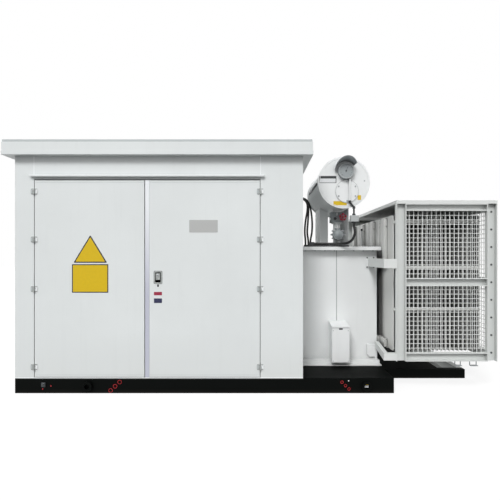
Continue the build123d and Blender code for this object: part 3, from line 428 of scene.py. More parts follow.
finishes = {
    "plate_grey": brushed("plate_grey", linear(174, 175, 174)),
    "plate_yellow": enamel("plate_yellow", linear(214, 180, 8)),
    # The pale finish below is a painted highlight, for lines along seams, the drip rail and the hinges.
    "painted_highlight": enamel("painted_highlight", linear(244, 247, 248)),
    "plate_dark": enamel("plate_dark", linear(44, 46, 48)),
    "plate_white": enamel("plate_white", linear(226, 228, 230)),
    "plate_red": enamel("plate_red", linear(186, 40, 46)),
    "plate_crimson": enamel("plate_crimson", linear(150, 36, 64)),
    "plate_navy": enamel("plate_navy", linear(34, 37, 72)),
    "bolt_zinc": zinc("bolt_zinc", linear(170, 174, 176), spangle=200.0),
    "bolt_dark": zinc("bolt_dark", linear(70, 74, 76), spangle=200.0),
    "dial_grey": enamel("dial_grey", linear(150, 156, 158), roughness=0.5),
    # The lighter seam grey is a seam colour, and also painted shade on the roof's rim and the hinges.
    "seam_and_shade_grey": painted("seam_and_shade_grey", linear(186, 192, 193), dirt=0.3),
    "seam_dark": painted("seam_dark", linear(150, 154, 155), dirt=0.3),
}


# Cords: the routes of the solids, in metres, as control points of smooth curves
lid_hose_route = (
    (1.111, -0.850, 1.732), (1.111, -0.850, 1.694), (1.122, -0.850, 1.652), (1.1225, -0.846, 1.612),
    (1.112, -0.835, 1.573), (1.093, -0.816, 1.541), (1.067, -0.791, 1.519), (1.032, -0.760, 1.5086),
    (0.984, -0.724, 1.508), (0.916, -0.691, 1.5076), (0.839, -0.671, 1.5075), (0.759, -0.662, 1.5075),
    (0.699, -0.662, 1.5075),
)
cable_front_route = (
    (0.535, -0.530, 2.040), (0.577, -0.530, 2.040), (0.613, -0.529, 2.019), (0.636, -0.528, 1.979),
    (0.638, -0.526, 1.905), (0.612, -0.522, 1.770), (0.604, -0.521, 1.640), (0.615, -0.520, 1.560),
    (0.615, -0.520, 1.500),
)
cable_middle_route = (
    (0.535, -0.485, 2.050), (0.585, -0.485, 2.050), (0.623, -0.484, 2.028), (0.648, -0.483, 1.985),
    (0.656, -0.482, 1.908), (0.648, -0.480, 1.770), (0.636, -0.481, 1.640), (0.652, -0.484, 1.562),
    (0.652, -0.484, 1.500),
)
cable_rear_route = (
    (0.535, -0.440, 2.060), (0.595, -0.440, 2.060), (0.639, -0.440, 2.035), (0.668, -0.441, 1.987),
    (0.690, -0.442, 1.905), (0.704, -0.443, 1.770), (0.700, -0.442, 1.640), (0.680, -0.440, 1.560),
    (0.680, -0.440, 1.500),
)
hose_diameter = 0.028
cable_diameter = 0.022
cords = (
    ("lid_hose", lid_hose_route, hose_diameter, 0.649),
    ("cable_front", cable_front_route, cable_diameter, 0.609),
    ("cable_middle", cable_middle_route, cable_diameter, 0.628),
    ("cable_rear", cable_rear_route, cable_diameter, 0.657),
)
for cord_name, route, diameter, length in cords:
    curve = bpy.data.curves.new(cord_name + "_cord", "CURVE")
    curve.dimensions = "3D"
    curve.bevel_depth = diameter / 2
    curve.bevel_resolution = 5
    curve.use_fill_caps = True
    spline = curve.splines.new("NURBS")
    spline.points.add(len(route) - 1)
    for control, point in zip(spline.points, route):
        control.co = (*point, 1)
    spline.order_u = 3
    spline.use_endpoint_u = True
    spline.resolution_u = 12
    cord = bpy.data.objects.new(cord_name + "_cord", curve)
    bpy.context.scene.collection.objects.link(cord)
    curve.materials.append(slot_materials["cable_black"])
    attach(cord, "root")
    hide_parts(cord_name)


# Directions that details face, and forms that several of them share
to_top = (0, 0, 1)
to_ground = (0, 0, -1)
to_front = (0, -1, 0)
to_right = (1, 0, 0)
to_left = (-1, 0, 0)
fine_bevel = 0.001
dot_profile = ((0, 0.006), (0.0015, 0.0055))


def thin_lines(name, lines, y, material, body="root", proud=0.0006):
    """Makes thin raised lines on a front face, each from x0, x1, z0 and z1."""
    mesh = bmesh.new()
    for x0, x1, z0, z1 in lines:
        add_box(mesh, (x0, y - proud, z0), (x1, y, z1))
    return piece(name, mesh, material, body)


def bare_plate(name, x, y, z, width, height, material, body="root", thickness=0.001, radius=0.004):
    """Makes one plate with round corners and nothing on it."""
    mesh = bmesh.new()
    front_plate(mesh, x, y, z, width, height, thickness, radius)
    return piece(name, mesh, material, body)


def four_corners(reach_across, reach_up):
    """Gives the steps from a centre to four corners, as (across, up)."""
    return [(across, up) for across in (-reach_across, reach_across) for up in (-reach_up, reach_up)]


def round_steps(count, turn=0.0):
    """Gives steps of length 1 to points spread evenly on a circle, as (across, up)."""
    angles = [2 * math.pi * index / count + turn for index in range(count)]
    return [(math.cos(angle), math.sin(angle)) for angle in angles]


# House: hem lines, painted highlight lines, a painted shadow under the drip rail, bare plates, lock and hinge
# screws
front_y = -1.250
hinge_face_y = -1.254
lock_face_y = -1.257
drip_rail_y = -1.280
roof_rim_y = -1.321

leaf_spans = (("left_leaf", -2.170, -1.071), ("right_leaf", -1.063, 0.085))
hem_inset = 0.012
hem_inset_at_strip = 0.050
hem_levels = (2.107, 0.182)
hem_width = 0.0016
for body, x0, x1 in leaf_spans:
    hem_left = x0 + (hem_inset_at_strip if body == "right_leaf" else hem_inset)
    hems = [(hem_left, x1 - hem_inset, z, z + hem_width) for z in hem_levels]
    thin_lines(body + "_hems", hems, front_y, finishes["seam_and_shade_grey"], body)

seam_centres_x = (-2.175, 0.090)
seam_half_width = 0.003
seam_span_z = (2.184, 2.366)
sill_highlight = (-2.365, 0.515, 0.151, 0.1585)
rail_highlight = (-2.210, 0.125, 2.173, 2.181)
rail_shadow_line = (-2.172, 0.087, 2.136, 2.143)
rim_line = (-2.450, 0.600, 2.4965, 2.5190)
# The pale lines on the lintel seams and along the wall's foot are painted highlights.
highlight_lines = [(x - seam_half_width, x + seam_half_width, *seam_span_z) for x in seam_centres_x]
highlight_lines.append(sill_highlight)
thin_lines("seam_highlights", highlight_lines, front_y, finishes["painted_highlight"])
# The pale line on the drip rail's top is a painted highlight, and the dark line under the rail is a painted
# shadow.
thin_lines("rail_top_highlight", [rail_highlight], drip_rail_y, finishes["painted_highlight"])
thin_lines("painted_rail_shadow", [rail_shadow_line], front_y, finishes["plate_dark"])
# The grey line along the top of the roof's rim is painted shade.
thin_lines("roof_rim_line", [rim_line], roof_rim_y, finishes["seam_and_shade_grey"])

name_plate_x = -0.480
name_plate_z = 1.670
name_plate_thickness = 0.0015
rivet_radius = 0.0035
bare_plate(
    "name_plate", name_plate_x, front_y, name_plate_z, 0.284, 0.124, finishes["plate_grey"],
    "right_leaf", name_plate_thickness,
)
rivets = bmesh.new()
for dx, dz in four_corners(0.132, 0.052):
    spot = (name_plate_x + dx, front_y - name_plate_thickness, name_plate_z + dz)
    add_screw(rivets, spot, to_front, rivet_radius)
piece("name_plate_rivets", rivets, finishes["bolt_zinc"], "right_leaf", smooth=40)


def triangle_plate(name, x, low, high, half, thickness, material, corner):
    """Makes a triangular plate that points up, with its corners cut."""
    tips = [Vector((x - half, low)), Vector((x + half, low)), Vector((x, high))]
    outline = []
    for index, tip in enumerate(tips):
        for other in (tips[index - 1], tips[(index + 1) % 3]):
            spot = tip + (other - tip).normalized() * corner
            outline.append((spot.x, front_y, spot.y))
    mesh = bmesh.new()
    add_outline(mesh, outline, (0, -thickness, 0))
    return piece(name, mesh, material, "left_leaf")


# Bare warning plates of the left leaf: a triangle and a square, each a face on a dark border
border_thickness = 0.0010
face_thickness = 0.0016
triangle_x = -1.6120
square_x = -1.6135
square_z = 1.1475
triangles = (
    ("triangle_border", 1.304, 1.582, 0.1690, border_thickness, "plate_dark", 0.009),
    ("triangle_face", 1.316, 1.560, 0.1480, face_thickness, "plate_yellow", 0.006),
)
for name, low, high, half_width, thickness, finish, corner in triangles:
    triangle_plate(name, triangle_x, low, high, half_width, thickness, finishes[finish], corner)
squares = (
    ("square_border", 0.363, 0.285, "plate_dark", border_thickness),
    ("square_face", 0.343, 0.265, "plate_yellow", face_thickness),
)
for name, width, height, finish, thickness in squares:
    bare_plate(name, square_x, front_y, square_z, width, height, finishes[finish], "left_leaf", thickness)

# Bare sticker and lock of the right leaf, one below the other
lock_x = -0.935
lock_z = 1.158
cylinder_z = 1.182
sticker_width = 0.080
sticker_parts = (
    ("sticker", 0.958, 0.112, "plate_white", 0.0006),
    ("sticker_top", 0.996, 0.034, "plate_crimson", 0.0009),
    ("sticker_foot", 0.925, 0.046, "plate_navy", 0.0009),
)
for name, z, height, finish, thickness in sticker_parts:
    bare_plate(name, lock_x, front_y, z, sticker_width, height, finishes[finish], "right_leaf", thickness)
bare_plate(
    "lock_gasket", lock_x, front_y, lock_z, 0.086, 0.131, finishes["plate_dark"], "right_leaf",
    thickness=0.0010, radius=0.010,
)
cylinder_profile = ((0, 0.010), (0.003, 0.0095), (0.004, 0.008))
lock_screw_y = -1.254
lock_screw_radius = 0.004
lock_parts = bmesh.new()
add_disc(lock_parts, (lock_x, lock_face_y, cylinder_z), to_front, cylinder_profile, sides=20)
for dx, dz in four_corners(0.034, 0.057):
    add_screw(lock_parts, (lock_x + dx, lock_screw_y, lock_z + dz), to_front, lock_screw_radius)
piece("lock_cylinder", lock_parts, finishes["bolt_zinc"], "right_leaf", smooth=40)
lock_slots = bmesh.new()
add_box(lock_slots, (-0.9362, -1.2616, 1.176), (-0.9338, -1.2608, 1.188))
add_box(lock_slots, (-0.943, front_y - 0.002, 1.064), (-0.927, front_y, 1.088), bevel=0.0006)
piece("lock_slots", lock_slots, finishes["plate_dark"], "right_leaf")

# Hinges: screws and faces on both plates of each hinge, one piece to a body; the faces carry painted light
# and shade
hinge_heights = (0.262, 1.042, 1.537, 2.017)
hinge_axes = ((-2.1725, "left_leaf", 1), (0.0875, "right_leaf", -1))
hinge_screw_x = 0.0215
hinge_screw_y = -1.2548
hinge_screw_dz = 0.016
hinge_plate_x = 0.0205
hinge_plate_width = 0.026
hinge_plate_height = 0.042
for axis_x, leaf, inward in hinge_axes:
    for body, side in (("root", -inward), (leaf, inward)):
        screws = bmesh.new()
        screw_x = axis_x + hinge_screw_x * side
        for height in hinge_heights:
            for dz in (-hinge_screw_dz, hinge_screw_dz):
                add_screw(screws, (screw_x, hinge_screw_y, height + dz), to_front, rivet_radius)
        piece(leaf + "_hinge_screws_" + body, screws, finishes["bolt_zinc"], body, smooth=40)
        faces = bmesh.new()
        face_x = axis_x + hinge_plate_x * side
        for height in hinge_heights:
            front_plate(
                faces, face_x, hinge_face_y, height, hinge_plate_width, hinge_plate_height,
                thickness=0.0008, radius=0.003,
            )
        # Faces right of the hinge axis are a painted highlight, faces left of it painted shade.
        finish = "painted_highlight" if side > 0 else "seam_and_shade_grey"
        piece(leaf + "_hinge_faces_" + body, faces, finishes[finish], body)

# Earth lugs below the cage, each a shelf on two brackets
lug_spans_x = ((2.048, 2.112), (2.198, 2.272))
lug_front_y = -1.245
lug_back_y = -1.205
lug_low = 0.268
lug_high = 0.274
bracket_front_y = -1.211
bracket_width = 0.008
cage_rail_low = 0.317
earth_lugs = bmesh.new()
for x0, x1 in lug_spans_x:
    add_box(earth_lugs, (x0, lug_front_y, lug_low), (x1, lug_back_y, lug_high), fine_bevel)
    for left, right in ((x0, x0 + bracket_width), (x1 - bracket_width, x1)):
        add_box(earth_lugs, (left, bracket_front_y, lug_low), (right, lug_back_y, cage_rail_low))
piece("lugs_and_brackets", earth_lugs, finishes["bolt_zinc"], smooth=30)

# Skid: red ring marks in threes, small dots and a bare tag
ring_rows = (
    ((-1.409, 0.027), (-1.319, 0.111), 0.019),
    ((0.905, 0.110), (0.975, 0.042), 0.013),
)
ring_tube = 0.0022
red_dots = ((-2.088, 0.042), (-2.005, 0.072))
pale_dot = (0.971, 0.124)
tag_thickness = 0.004
ring_marks = bmesh.new()
for (x0, z0), (x1, z1), radius in ring_rows:
    for share in (0.0, 0.5, 1.0):
        centre = (x0 + (x1 - x0) * share, front_y, z0 + (z1 - z0) * share)
        add_ring(ring_marks, centre, to_front, radius, ring_tube, turns=28, sides=6)
for x, z in red_dots:
    add_disc(ring_marks, (x, front_y, z), to_front, dot_profile, sides=14)
piece("red_marks", ring_marks, finishes["plate_red"], smooth=40)
skid_tag = bmesh.new()
add_disc(skid_tag, (pale_dot[0], front_y, pale_dot[1]), to_front, dot_profile, sides=14)
add_box(skid_tag, (1.129, front_y - tag_thickness, 0.057), (1.171, front_y, 0.079), fine_bevel)
piece("skid_tag_pale", skid_tag, finishes["plate_white"])
bare_plate(
    "skid_tag_yellow", 1.150, front_y, 0.090, 0.042, 0.022, finishes["plate_yellow"],
    thickness=tag_thickness,
)

# Bolts of the lid and of the relay's flanges. A row is a place, a level, a direction, a width, and a
# turn for each step along the row.
lid_top = 1.475
lid_underside = 1.435
lid_pitch = 0.110
large_bolt = 0.018
small_bolt = 0.014
flange_bolt = 0.011
relay_x = 0.974
relay_y = -0.550
side_rows = (
    (1.433, lid_top, to_top, large_bolt, 0.3),
    (1.438, lid_underside, to_ground, small_bolt, 0.4),
    (0.566, lid_top, to_top, large_bolt, 0.5),
)
end_rows = (
    (-0.662, lid_underside, to_ground, large_bolt, 0.3),
    (1.122, lid_underside, to_ground, large_bolt, 0.4),
    (1.142, lid_top, to_top, large_bolt, 0.2),
)
front_row_y = -0.682
front_row_turn = 0.6
hose_tray_end = 1.110
first_side_bolt_y = -0.650
side_bolts = 17
first_end_bolt_x = 0.600
end_bolts = 8
flange_rings = (
    (0.056, 1.491, to_top, small_bolt), (0.051, 1.884, to_top, flange_bolt),
    (0.051, 1.746, to_ground, flange_bolt),
)
lid_bolts = bmesh.new()
for step in range(side_bolts):
    y = first_side_bolt_y + lid_pitch * step
    for x, z, direction, width, turn in side_rows:
        add_bolt(lid_bolts, (x, y, z), direction, width, turn=turn * step)
for step in range(end_bolts):
    x = first_end_bolt_x + lid_pitch * step
    for y, z, direction, width, turn in end_rows:
        add_bolt(lid_bolts, (x, y, z), direction, width, turn=turn * step)
    if x > hose_tray_end:
        add_bolt(lid_bolts, (x, front_row_y, lid_top), to_top, large_bolt, turn=front_row_turn * step)
for dx, dy in round_steps(6):
    for radius, z, direction, width in flange_rings:
        add_bolt(lid_bolts, (relay_x + radius * dx, relay_y + radius * dy, z), direction, width)
piece("tank_bolts", lid_bolts, finishes["bolt_zinc"])

# Tank: tabs, feet of the cage's arms, flanges of the relay, vent pole, conduit sleeve and drum rim
tank_front_y = -0.620
drum_face_y = -0.830
conduit_y = -0.850
conduit_x = 1.0665
pole_x = 1.350
pole_y = -0.200
edge_tabs_y = ((-0.645, -0.630), (1.090, 1.105))
edge_tab_x = (1.396, 1.422)
edge_tab_z = (0.167, 0.219)
arm_feet_y = ((-0.628, tank_front_y), (1.080, 1.088))
arm_foot_x = (1.300, 1.396)
arm_foot_z = (1.232, 1.360)
sleeve_low = 1.972
relay_flange_levels = (1.875, 1.746)
relay_flange_profile = ((0, 0.062), (0.009, 0.062))
pole_profile = ((0, 0.017), (0.006, 0.017), (0.007, 0.0095), (0.205, 0.0095))
sleeve_profile = ((0, 0.0112), (0.245, 0.0112))
drum_centre = (1.007, drum_face_y, 2.179)
drum_rim_radius = 0.2665
tank_pieces = bmesh.new()
for spans_y, (x0, x1), (z0, z1) in (
    (edge_tabs_y, edge_tab_x, edge_tab_z), (arm_feet_y, arm_foot_x, arm_foot_z),
):
    for y0, y1 in spans_y:
        add_box(tank_pieces, (x0, y0, z0), (x1, y1, z1), fine_bevel)
for z in relay_flange_levels:
    add_disc(tank_pieces, (relay_x, relay_y, z), to_top, relay_flange_profile, sides=32)
add_disc(tank_pieces, (pole_x, pole_y, lid_top), to_top, pole_profile, sides=18)
add_disc(tank_pieces, (conduit_x, conduit_y, sleeve_low), to_top, sleeve_profile, sides=18)
add_ring(tank_pieces, drum_centre, to_front, drum_rim_radius, tube=0.0028, turns=96, sides=6)
piece("tank_pieces", tank_pieces, slot_materials["tank_paint"], smooth=30)
weld_seam = (0.9585, 0.9645, 0.205, 1.432)
thin_lines("tank_seam", [weld_seam], tank_front_y, finishes["seam_dark"], proud=0.0012)

# Cage: bolts in the feet of its arms and up its posts, and the earth plate at the skid's left end
foot_bolts_x = (1.311, 1.385)
foot_bolts_z = (1.242, 1.350)
post_bolt_x = 2.420
post_bolt_low = 0.396
post_bolt_pitch = 0.1778
post_bolt_width = 0.016
bolts_a_post = 9
foot_faces = ((-0.628, -1), (1.088, 1))
post_faces = ((-1.208, -1), (1.288, 1))
earth_plate_y = front_y - 0.010
arm_bolts = bmesh.new()
for y, outward in foot_faces:
    for x in foot_bolts_x:
        for z in foot_bolts_z:
            add_bolt(arm_bolts, (x, y, z), (0, outward, 0), small_bolt)
for y, outward in post_faces:
    for step in range(bolts_a_post):
        spot = (post_bolt_x, y, post_bolt_low + post_bolt_pitch * step)
        add_bolt(arm_bolts, spot, (0, outward, 0), post_bolt_width, turn=0.4 * step)
add_box(arm_bolts, (-2.099, earth_plate_y, 0.063), (-2.059, front_y, 0.107), bevel=0.002)
add_bolt(arm_bolts, (-2.079, earth_plate_y, 0.085), to_front, width=0.024)
piece("cage_bolts", arm_bolts, finishes["bolt_dark"])

# Control box: four screws in its cover, and a latch
cover_face_y = -0.844
box_screws_x = (0.887, 1.051)
box_screws_z = (0.217, 0.550)
box_screws = bmesh.new()
for x in box_screws_x:
    for z in box_screws_z:
        add_screw(box_screws, (x, cover_face_y, z), to_front, radius=0.005)
piece("box_screws", box_screws, finishes["bolt_zinc"], smooth=40)
bare_plate(
    "box_latch", 0.9695, cover_face_y, 0.569, 0.040, 0.015, finishes["plate_dark"],
    thickness=0.0015,
)

# Ducts of the radiators: a flange on the tank's wall and one at the header, for each level
banks = 4
first_bank_y = -0.758
bank_pitch = 0.510
bank_centres = [first_bank_y + bank_pitch * bank for bank in range(banks)]
first_stub_y = -0.580
stub_levels = (1.290, 0.406)
stub_flange_x = (1.423, 1.433)
stub_reach_y = 0.055
stub_reach_z = 0.056
header_levels = (1.742, 0.406)
header_flange_x = (1.4835, 1.4905)
header_reach = 0.050
duct_bolt = 0.012
duct_flanges = bmesh.new()
duct_bolts = bmesh.new()
for centre_y in bank_centres:
    stub_y = max(centre_y, first_stub_y)
    near, far = stub_flange_x
    for z in stub_levels:
        front = max(stub_y - stub_reach_y, tank_front_y)
        low = (near, front, z - stub_reach_z)
        high = (far, stub_y + stub_reach_y, z + stub_reach_z)
        add_box(duct_flanges, low, high, fine_bevel)
        for dy, dz in four_corners(0.028, 0.048):
            add_bolt(duct_bolts, (far, stub_y + dy, z + dz), to_right, duct_bolt)
    near, far = header_flange_x
    for z in header_levels:
        low = (near, centre_y - header_reach, z - header_reach)
        high = (far, centre_y + header_reach, z + header_reach)
        add_box(duct_flanges, low, high, fine_bevel)
        for dy, dz in four_corners(0.042, 0.042):
            add_bolt(duct_bolts, (near, centre_y + dy, z + dz), to_left, flange_bolt)
piece("duct_flanges", duct_flanges, slot_materials["radiator_paint"])
piece("duct_bolts", duct_bolts, finishes["bolt_dark"])

# Radiators: pressed flutes on both sides of each fin, one piece to a bank. The left side of the first
# fin stays plain.
fins_a_bank = 22
first_fin_x = 1.498
fin_pitch = 0.043
fin_xs = [first_fin_x + fin_pitch * fin for fin in range(fins_a_bank)]
fin_half_thickness = 0.0045
flutes_a_side = 6
flute_pitch = 0.076
flute_width = 0.052
flute_low = 0.470
flute_high = 1.680
flute_rise = 0.004
flute_slope = 0.008
flute_end_slope = 0.020


def add_flute(mesh, face_x, side, y):
    """Adds one raised flute with sloping sides on a fin's face."""
    top_x = face_x + flute_rise * side
    rings = []
    for x, inset, end in ((face_x, 0.0, 0.0), (top_x, flute_slope, flute_end_slope)):
        half = flute_width / 2 - inset
        low, high = flute_low + end, flute_high - end
        corners = ((x, y - half, low), (x, y + half, low), (x, y + half, high), (x, y - half, high))
        rings.append([mesh.verts.new(corner) for corner in corners])
    lower, upper = rings
    mesh.faces.new(upper)
    for index in range(4):
        after = (index + 1) % 4
        mesh.faces.new((lower[index], lower[after], upper[after], upper[index]))


for number, centre_y in enumerate(bank_centres, 1):
    flutes = bmesh.new()
    for fin_x in fin_xs:
        for side in (-1, 1):
            if fin_x == first_fin_x and side == -1:
                continue
            for flute in range(flutes_a_side):
                y = centre_y + (flute - (flutes_a_side - 1) / 2) * flute_pitch
                add_flute(flutes, fin_x + fin_half_thickness * side, side, y)
    piece("fin_flutes_" + str(number), flutes, slot_materials["radiator_paint"])

# Oil gauge: bezel, dial, ticks and hand
gauge = Vector((1.023, -0.880, 2.299))
dial_depth = Vector((0, 0.0078, 0))
dial_profile = ((0, 0.0745), (0.0008, 0.0740))
ticks = 11
first_tick = 225
tick_step = 27
hand_angle = 68
tick_y = -0.8730
hand_y = -0.8738
hub_profile = ((0, 0.009), (0.003, 0.008))
hand_hole_x = 1.039
hand_hole_z = 2.082
hand_hole_y = -0.838
bezel = bmesh.new()
add_ring(bezel, gauge, to_front, radius=0.0805, tube=0.0045, turns=56)
rim_centre = (hand_hole_x, hand_hole_y, hand_hole_z)
add_ring(bezel, rim_centre, to_front, radius=0.1245, tube=0.0016, turns=72, sides=6)
piece("gauge_bezel", bezel, slot_materials["fitting_grey"], smooth=60)
dial = bmesh.new()
add_disc(dial, gauge + dial_depth, to_front, dial_profile, sides=48)
piece("gauge_dial", dial, finishes["dial_grey"])


def add_hand(mesh, degrees, near, far, width, y):
    """Adds a thin radial mark on the dial, from one radius to another and narrower at its far end."""
    angle = math.radians(degrees)
    along = Vector((math.cos(angle), 0, math.sin(angle)))
    across = Vector((-along.z, 0, along.x)) * width / 2
    start = Vector((gauge.x, y, gauge.z))
    corners = [start + along * near - across, start + along * near + across]
    corners += [start + along * far + across * 0.6, start + along * far - across * 0.6]
    add_outline(mesh, corners, (0, -0.0006, 0))


marks = bmesh.new()
for step in range(ticks):
    degrees = first_tick - tick_step * step
    add_hand(marks, degrees, near=0.054, far=0.066, width=0.0030, y=tick_y)
add_hand(marks, hand_angle, near=-0.016, far=0.050, width=0.0060, y=hand_y)
add_disc(marks, (gauge.x, tick_y, gauge.z), to_front, hub_profile, sides=18)
piece("gauge_marks", marks, finishes["plate_dark"])

# Conservator: screws of the hand-hole cover, side bar, plug of the vent pole, bare plate and tags
cover_screw_radius = 0.106
cover_screw_turn = math.radians(30)
plug_profile = ((0, 0.0125), (0.022, 0.0125), (0.027, 0.009))
pole_top = 1.680
drum_plate_x = 0.8290
cover_screws = bmesh.new()
for dx, dz in round_steps(6, cover_screw_turn):
    across, height = cover_screw_radius * dx, cover_screw_radius * dz
    spot = (hand_hole_x + across, hand_hole_y, hand_hole_z + height)
    add_bolt(cover_screws, spot, to_front, width=0.015)
add_screw(cover_screws, (1.232, drum_face_y, 2.198), to_front, radius=0.008)
piece("cover_screws", cover_screws, finishes["bolt_zinc"])

drum_bar = bmesh.new()
add_box(drum_bar, (0.725, -0.662, 2.176), (0.7335, 0.136, 2.202), fine_bevel)
add_disc(drum_bar, (pole_x, pole_y, pole_top), to_top, plug_profile, sides=18)
piece("drum_bar", drum_bar, finishes["bolt_dark"], smooth=30)
drum_plates = (
    ("drum_plate_border", drum_plate_x, 2.2115, 0.186, 0.077, "plate_dark", 0.001),
    ("drum_plate_face", drum_plate_x, 2.2000, 0.172, 0.044, "plate_white", 0.0015),
    ("drum_tag_left", 0.963, 1.951, 0.146, 0.046, "plate_yellow", 0.001),
    ("drum_tag_right", 1.175, 2.013, 0.037, 0.052, "plate_yellow", 0.001),
)
for name, x, z, width, height, finish, thickness in drum_plates:
    bare_plate(name, x, drum_face_y, z, width, height, finishes[finish], thickness=thickness)

# Black fittings: unions of the conduit, nuts of the junction box, glands, and the relay's window
hose_x = 1.111
union_profile = ((0, 0.015), (0.016, 0.015))
collar_profile = ((0, 0.013), (0.004, 0.016), (0.022, 0.016), (0.026, 0.013))
upper_nut_profile = ((0, 0.019), (0.012, 0.019), (0.020, 0.014))
lower_nut_profile = ((0, 0.0225), (0.009, 0.0225))
wall_nut_profile = ((0, 0.0222), (0.012, 0.0222))
lid_nut_profile = ((0, 0.0245), (0.012, 0.0245))
window_profile = ((0, 0.017), (0.002, 0.016))
house_right_x = 0.515
window_x = 0.947
window_y = -0.614
window_z = 1.800
cables = (cable_front_route, cable_middle_route, cable_rear_route)
black_fittings = bmesh.new()
add_disc(black_fittings, (conduit_x, conduit_y, 1.962), to_top, union_profile, sides=16)
add_disc(black_fittings, (hose_x, conduit_y, 1.888), to_top, collar_profile, sides=16)
add_disc(black_fittings, (hose_x, conduit_y, 1.814), to_top, upper_nut_profile, sides=6)
add_disc(black_fittings, (hose_x, conduit_y, 1.744), to_ground, lower_nut_profile, sides=6)
for route in cables:
    _, y, z = route[0]
    add_disc(black_fittings, (house_right_x, y, z), to_right, wall_nut_profile, sides=6)
for route in cables:
    x, y, _ = route[-1]
    add_disc(black_fittings, (x, y, lid_top), to_top, lid_nut_profile, sides=6, turn=0.2)
add_disc(black_fittings, (window_x, window_y, window_z), to_front, window_profile, sides=24)
piece("black_fittings", black_fittings, slot_materials["conduit_black"], smooth=30)

# Relay and valve: bolts, window ring, ribs and cap of the valve, levers and handwheel lobes
relay_face_y = -0.610
relay_bolts_z = 1.815
window_ring_y = -0.611
valve_z = 1.615
valve_ribs = 10
valve_cap_y = -0.660
valve_rib_reach = 0.0715
rib_profile = ((0, 0.0085), (0.003, 0.0102), (0.027, 0.0102), (0.030, 0.0085))
cap_profile = ((0, 0.046), (0.005, 0.044), (0.012, 0.024), (0.018, 0.012))
relay_parts = bmesh.new()
for dx, dz in four_corners(0.062, 0.048):
    spot = (relay_x + dx, relay_face_y, relay_bolts_z + dz)
    add_bolt(relay_parts, spot, to_front, width=0.012)
ring_centre = (window_x, window_ring_y, window_z)
add_ring(relay_parts, ring_centre, to_front, radius=0.021, tube=0.005, turns=32)
for dx, dz in round_steps(valve_ribs):
    spot = (relay_x + valve_rib_reach * dx, relay_face_y, valve_z + valve_rib_reach * dz)
    add_disc(relay_parts, spot, to_front, rib_profile, sides=14)
add_disc(relay_parts, (relay_x, valve_cap_y, valve_z), to_front, cap_profile, sides=28)
piece("relay_and_valve_parts", relay_parts, slot_materials["relay_grey"], smooth=40)

lever_bevel = 0.0015
levers = bmesh.new()
add_box(levers, (0.963, -0.622, 1.836), (0.972, relay_face_y, 1.868), lever_bevel)
add_box(levers, (0.887, -0.602, 1.785), (0.899, -0.582, 1.806), lever_bevel)
piece("relay_levers", levers, finishes["plate_white"])

wheel_x = 1.030
wheel_z = 1.815
lobe_reach = 0.034
lobe_y = -0.6385
wheel_hub_y = -0.647
lobe_profile = ((0, 0.009), (0.002, 0.011), (0.008, 0.011), (0.010, 0.009))
wheel_hub_profile = ((0, 0.010), (0.005, 0.009), (0.007, 0.006))
lobes = bmesh.new()
for dx, dz in round_steps(5, turn=0.3):
    spot = (wheel_x + lobe_reach * dx, lobe_y, wheel_z + lobe_reach * dz)
    add_disc(lobes, spot, to_front, lobe_profile, sides=16)
add_disc(lobes, (wheel_x, wheel_hub_y, wheel_z), to_front, wheel_hub_profile, sides=16)
piece("handwheel_lobes", lobes, slot_materials["handwheel_red"], smooth=50)


# Light, floor and camera


def joined(tree, operation, first, second):
    """Joins two patterns by one step of arithmetic, held between 0 and 1."""
    node = tree.nodes.new("ShaderNodeMath")
    node.operation = operation
    node.use_clamp = True
    tree.links.new(first, node.inputs[0])
    tree.links.new(second, node.inputs[1])
    return node.outputs["Value"]


def backdrop(light_strength):
    """The world: white where the camera, a gloss or glass looks at it, and softer as light."""
    world = bpy.data.worlds.new("studio")
    world.use_nodes = True
    tree = world.node_tree
    background = tree.nodes["Background"]
    background.inputs["Color"].default_value = white
    background.inputs["Strength"].default_value = light_strength
    seen = tree.nodes.new("ShaderNodeBackground")
    seen.inputs["Color"].default_value = white
    path = tree.nodes.new("ShaderNodeLightPath").outputs
    seen_or_through = joined(tree, "ADD", path["Is Camera Ray"], path["Is Transmission Ray"])
    any_view = joined(tree, "ADD", seen_or_through, path["Is Glossy Ray"])
    blend = tree.nodes.new("ShaderNodeMixShader")
    tree.links.new(any_view, blend.inputs["Fac"])
    tree.links.new(background.outputs["Background"], blend.inputs[1])
    tree.links.new(seen.outputs["Background"], blend.inputs[2])
    tree.links.new(blend.outputs["Shader"], tree.nodes["World Output"].inputs["Surface"])
    bpy.context.scene.world = world


def sun(name, strength, elevation, azimuth, softness):
    """A soft sun; azimuth 0 shines along +Y, and a positive one comes from the left."""
    lamp = bpy.data.lights.new(name, "SUN")
    lamp.energy = strength
    lamp.angle = math.radians(softness)
    holder = bpy.data.objects.new(name, lamp)
    bpy.context.scene.collection.objects.link(holder)
    up, side = math.radians(elevation), math.radians(azimuth)
    source = Vector((-math.sin(side) * math.cos(up), -math.cos(side) * math.cos(up), math.sin(up)))
    holder.rotation_mode = "QUATERNION"
    holder.rotation_quaternion = source.to_track_quat("Z", "Y")


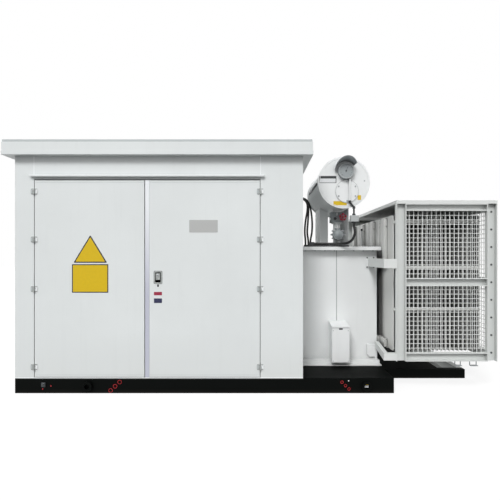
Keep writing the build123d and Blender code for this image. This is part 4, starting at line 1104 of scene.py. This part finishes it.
white = (1.0, 1.0, 1.0, 1.0)
backdrop(light_strength=0.32)
sun("key_sun", strength=2.15, elevation=42, azimuth=20, softness=20)
sun("side_sun", strength=0.40, elevation=25, azimuth=60, softness=30)
sun("fill_sun", strength=0.75, elevation=22, azimuth=-45, softness=60)
sun("rear_sun", strength=0.90, elevation=32, azimuth=160, softness=60)

# The floor glows for the camera and for gloss alone, so it looks white there and casts no glow upwards
floor_reach = 40
floor_glow = 0.83
floor_mesh = bmesh.new()
bmesh.ops.create_grid(floor_mesh, x_segments=8, y_segments=8, size=floor_reach)
floor_surface = Surface("floor_pale", roughness=0.9)
floor_grain = floor_surface.noise(3.0, 3.0)
floor_surface.colour(floor_surface.mix(floor_grain, linear(126, 126, 126), linear(131, 131, 131)))
floor_shader = floor_surface.shader
floor_shader.inputs["Specular IOR Level"].default_value = 0.0
floor_shader.inputs["Emission Color"].default_value = white
floor_path = floor_surface.tree.nodes.new("ShaderNodeLightPath").outputs
floor_seen = joined(
    floor_surface.tree, "MAXIMUM", floor_path["Is Camera Ray"], floor_path["Is Glossy Ray"],
)
glow = floor_surface.times(floor_seen, floor_glow)
floor_surface.link(glow, floor_shader.inputs["Emission Strength"])
floor_data = bpy.data.meshes.new("floor")
floor_mesh.to_mesh(floor_data)
floor_mesh.free()
floor = bpy.data.objects.new("floor", floor_data)
floor_data.materials.append(floor_surface.material)
bpy.context.scene.collection.objects.link(floor)

# The camera stands where the perspective fitted to the photograph has its eye, in metres. The centre
# and the focal length of that perspective are in pixels of a square picture.
photo_eye = Vector((0.110, -5.450, 1.392))
photo_centre = Vector((262.5, 254.0))
photo_focal = 420.0
photo_size = 500
lens = bpy.data.cameras.new("camera")
lens.sensor_width = 36.0
lens.lens = photo_focal / photo_size * lens.sensor_width
lens.shift_x = (photo_size / 2 - photo_centre.x) / photo_size
lens.shift_y = (photo_centre.y - photo_size / 2) / photo_size
lens.clip_end = 200
camera = bpy.data.objects.new("camera", lens)
camera.location = photo_eye
camera.rotation_euler = (math.pi / 2, 0, 0)
bpy.context.scene.collection.objects.link(camera)
bpy.context.scene.camera = camera
bpy.context.scene.view_settings.view_transform = "Standard"
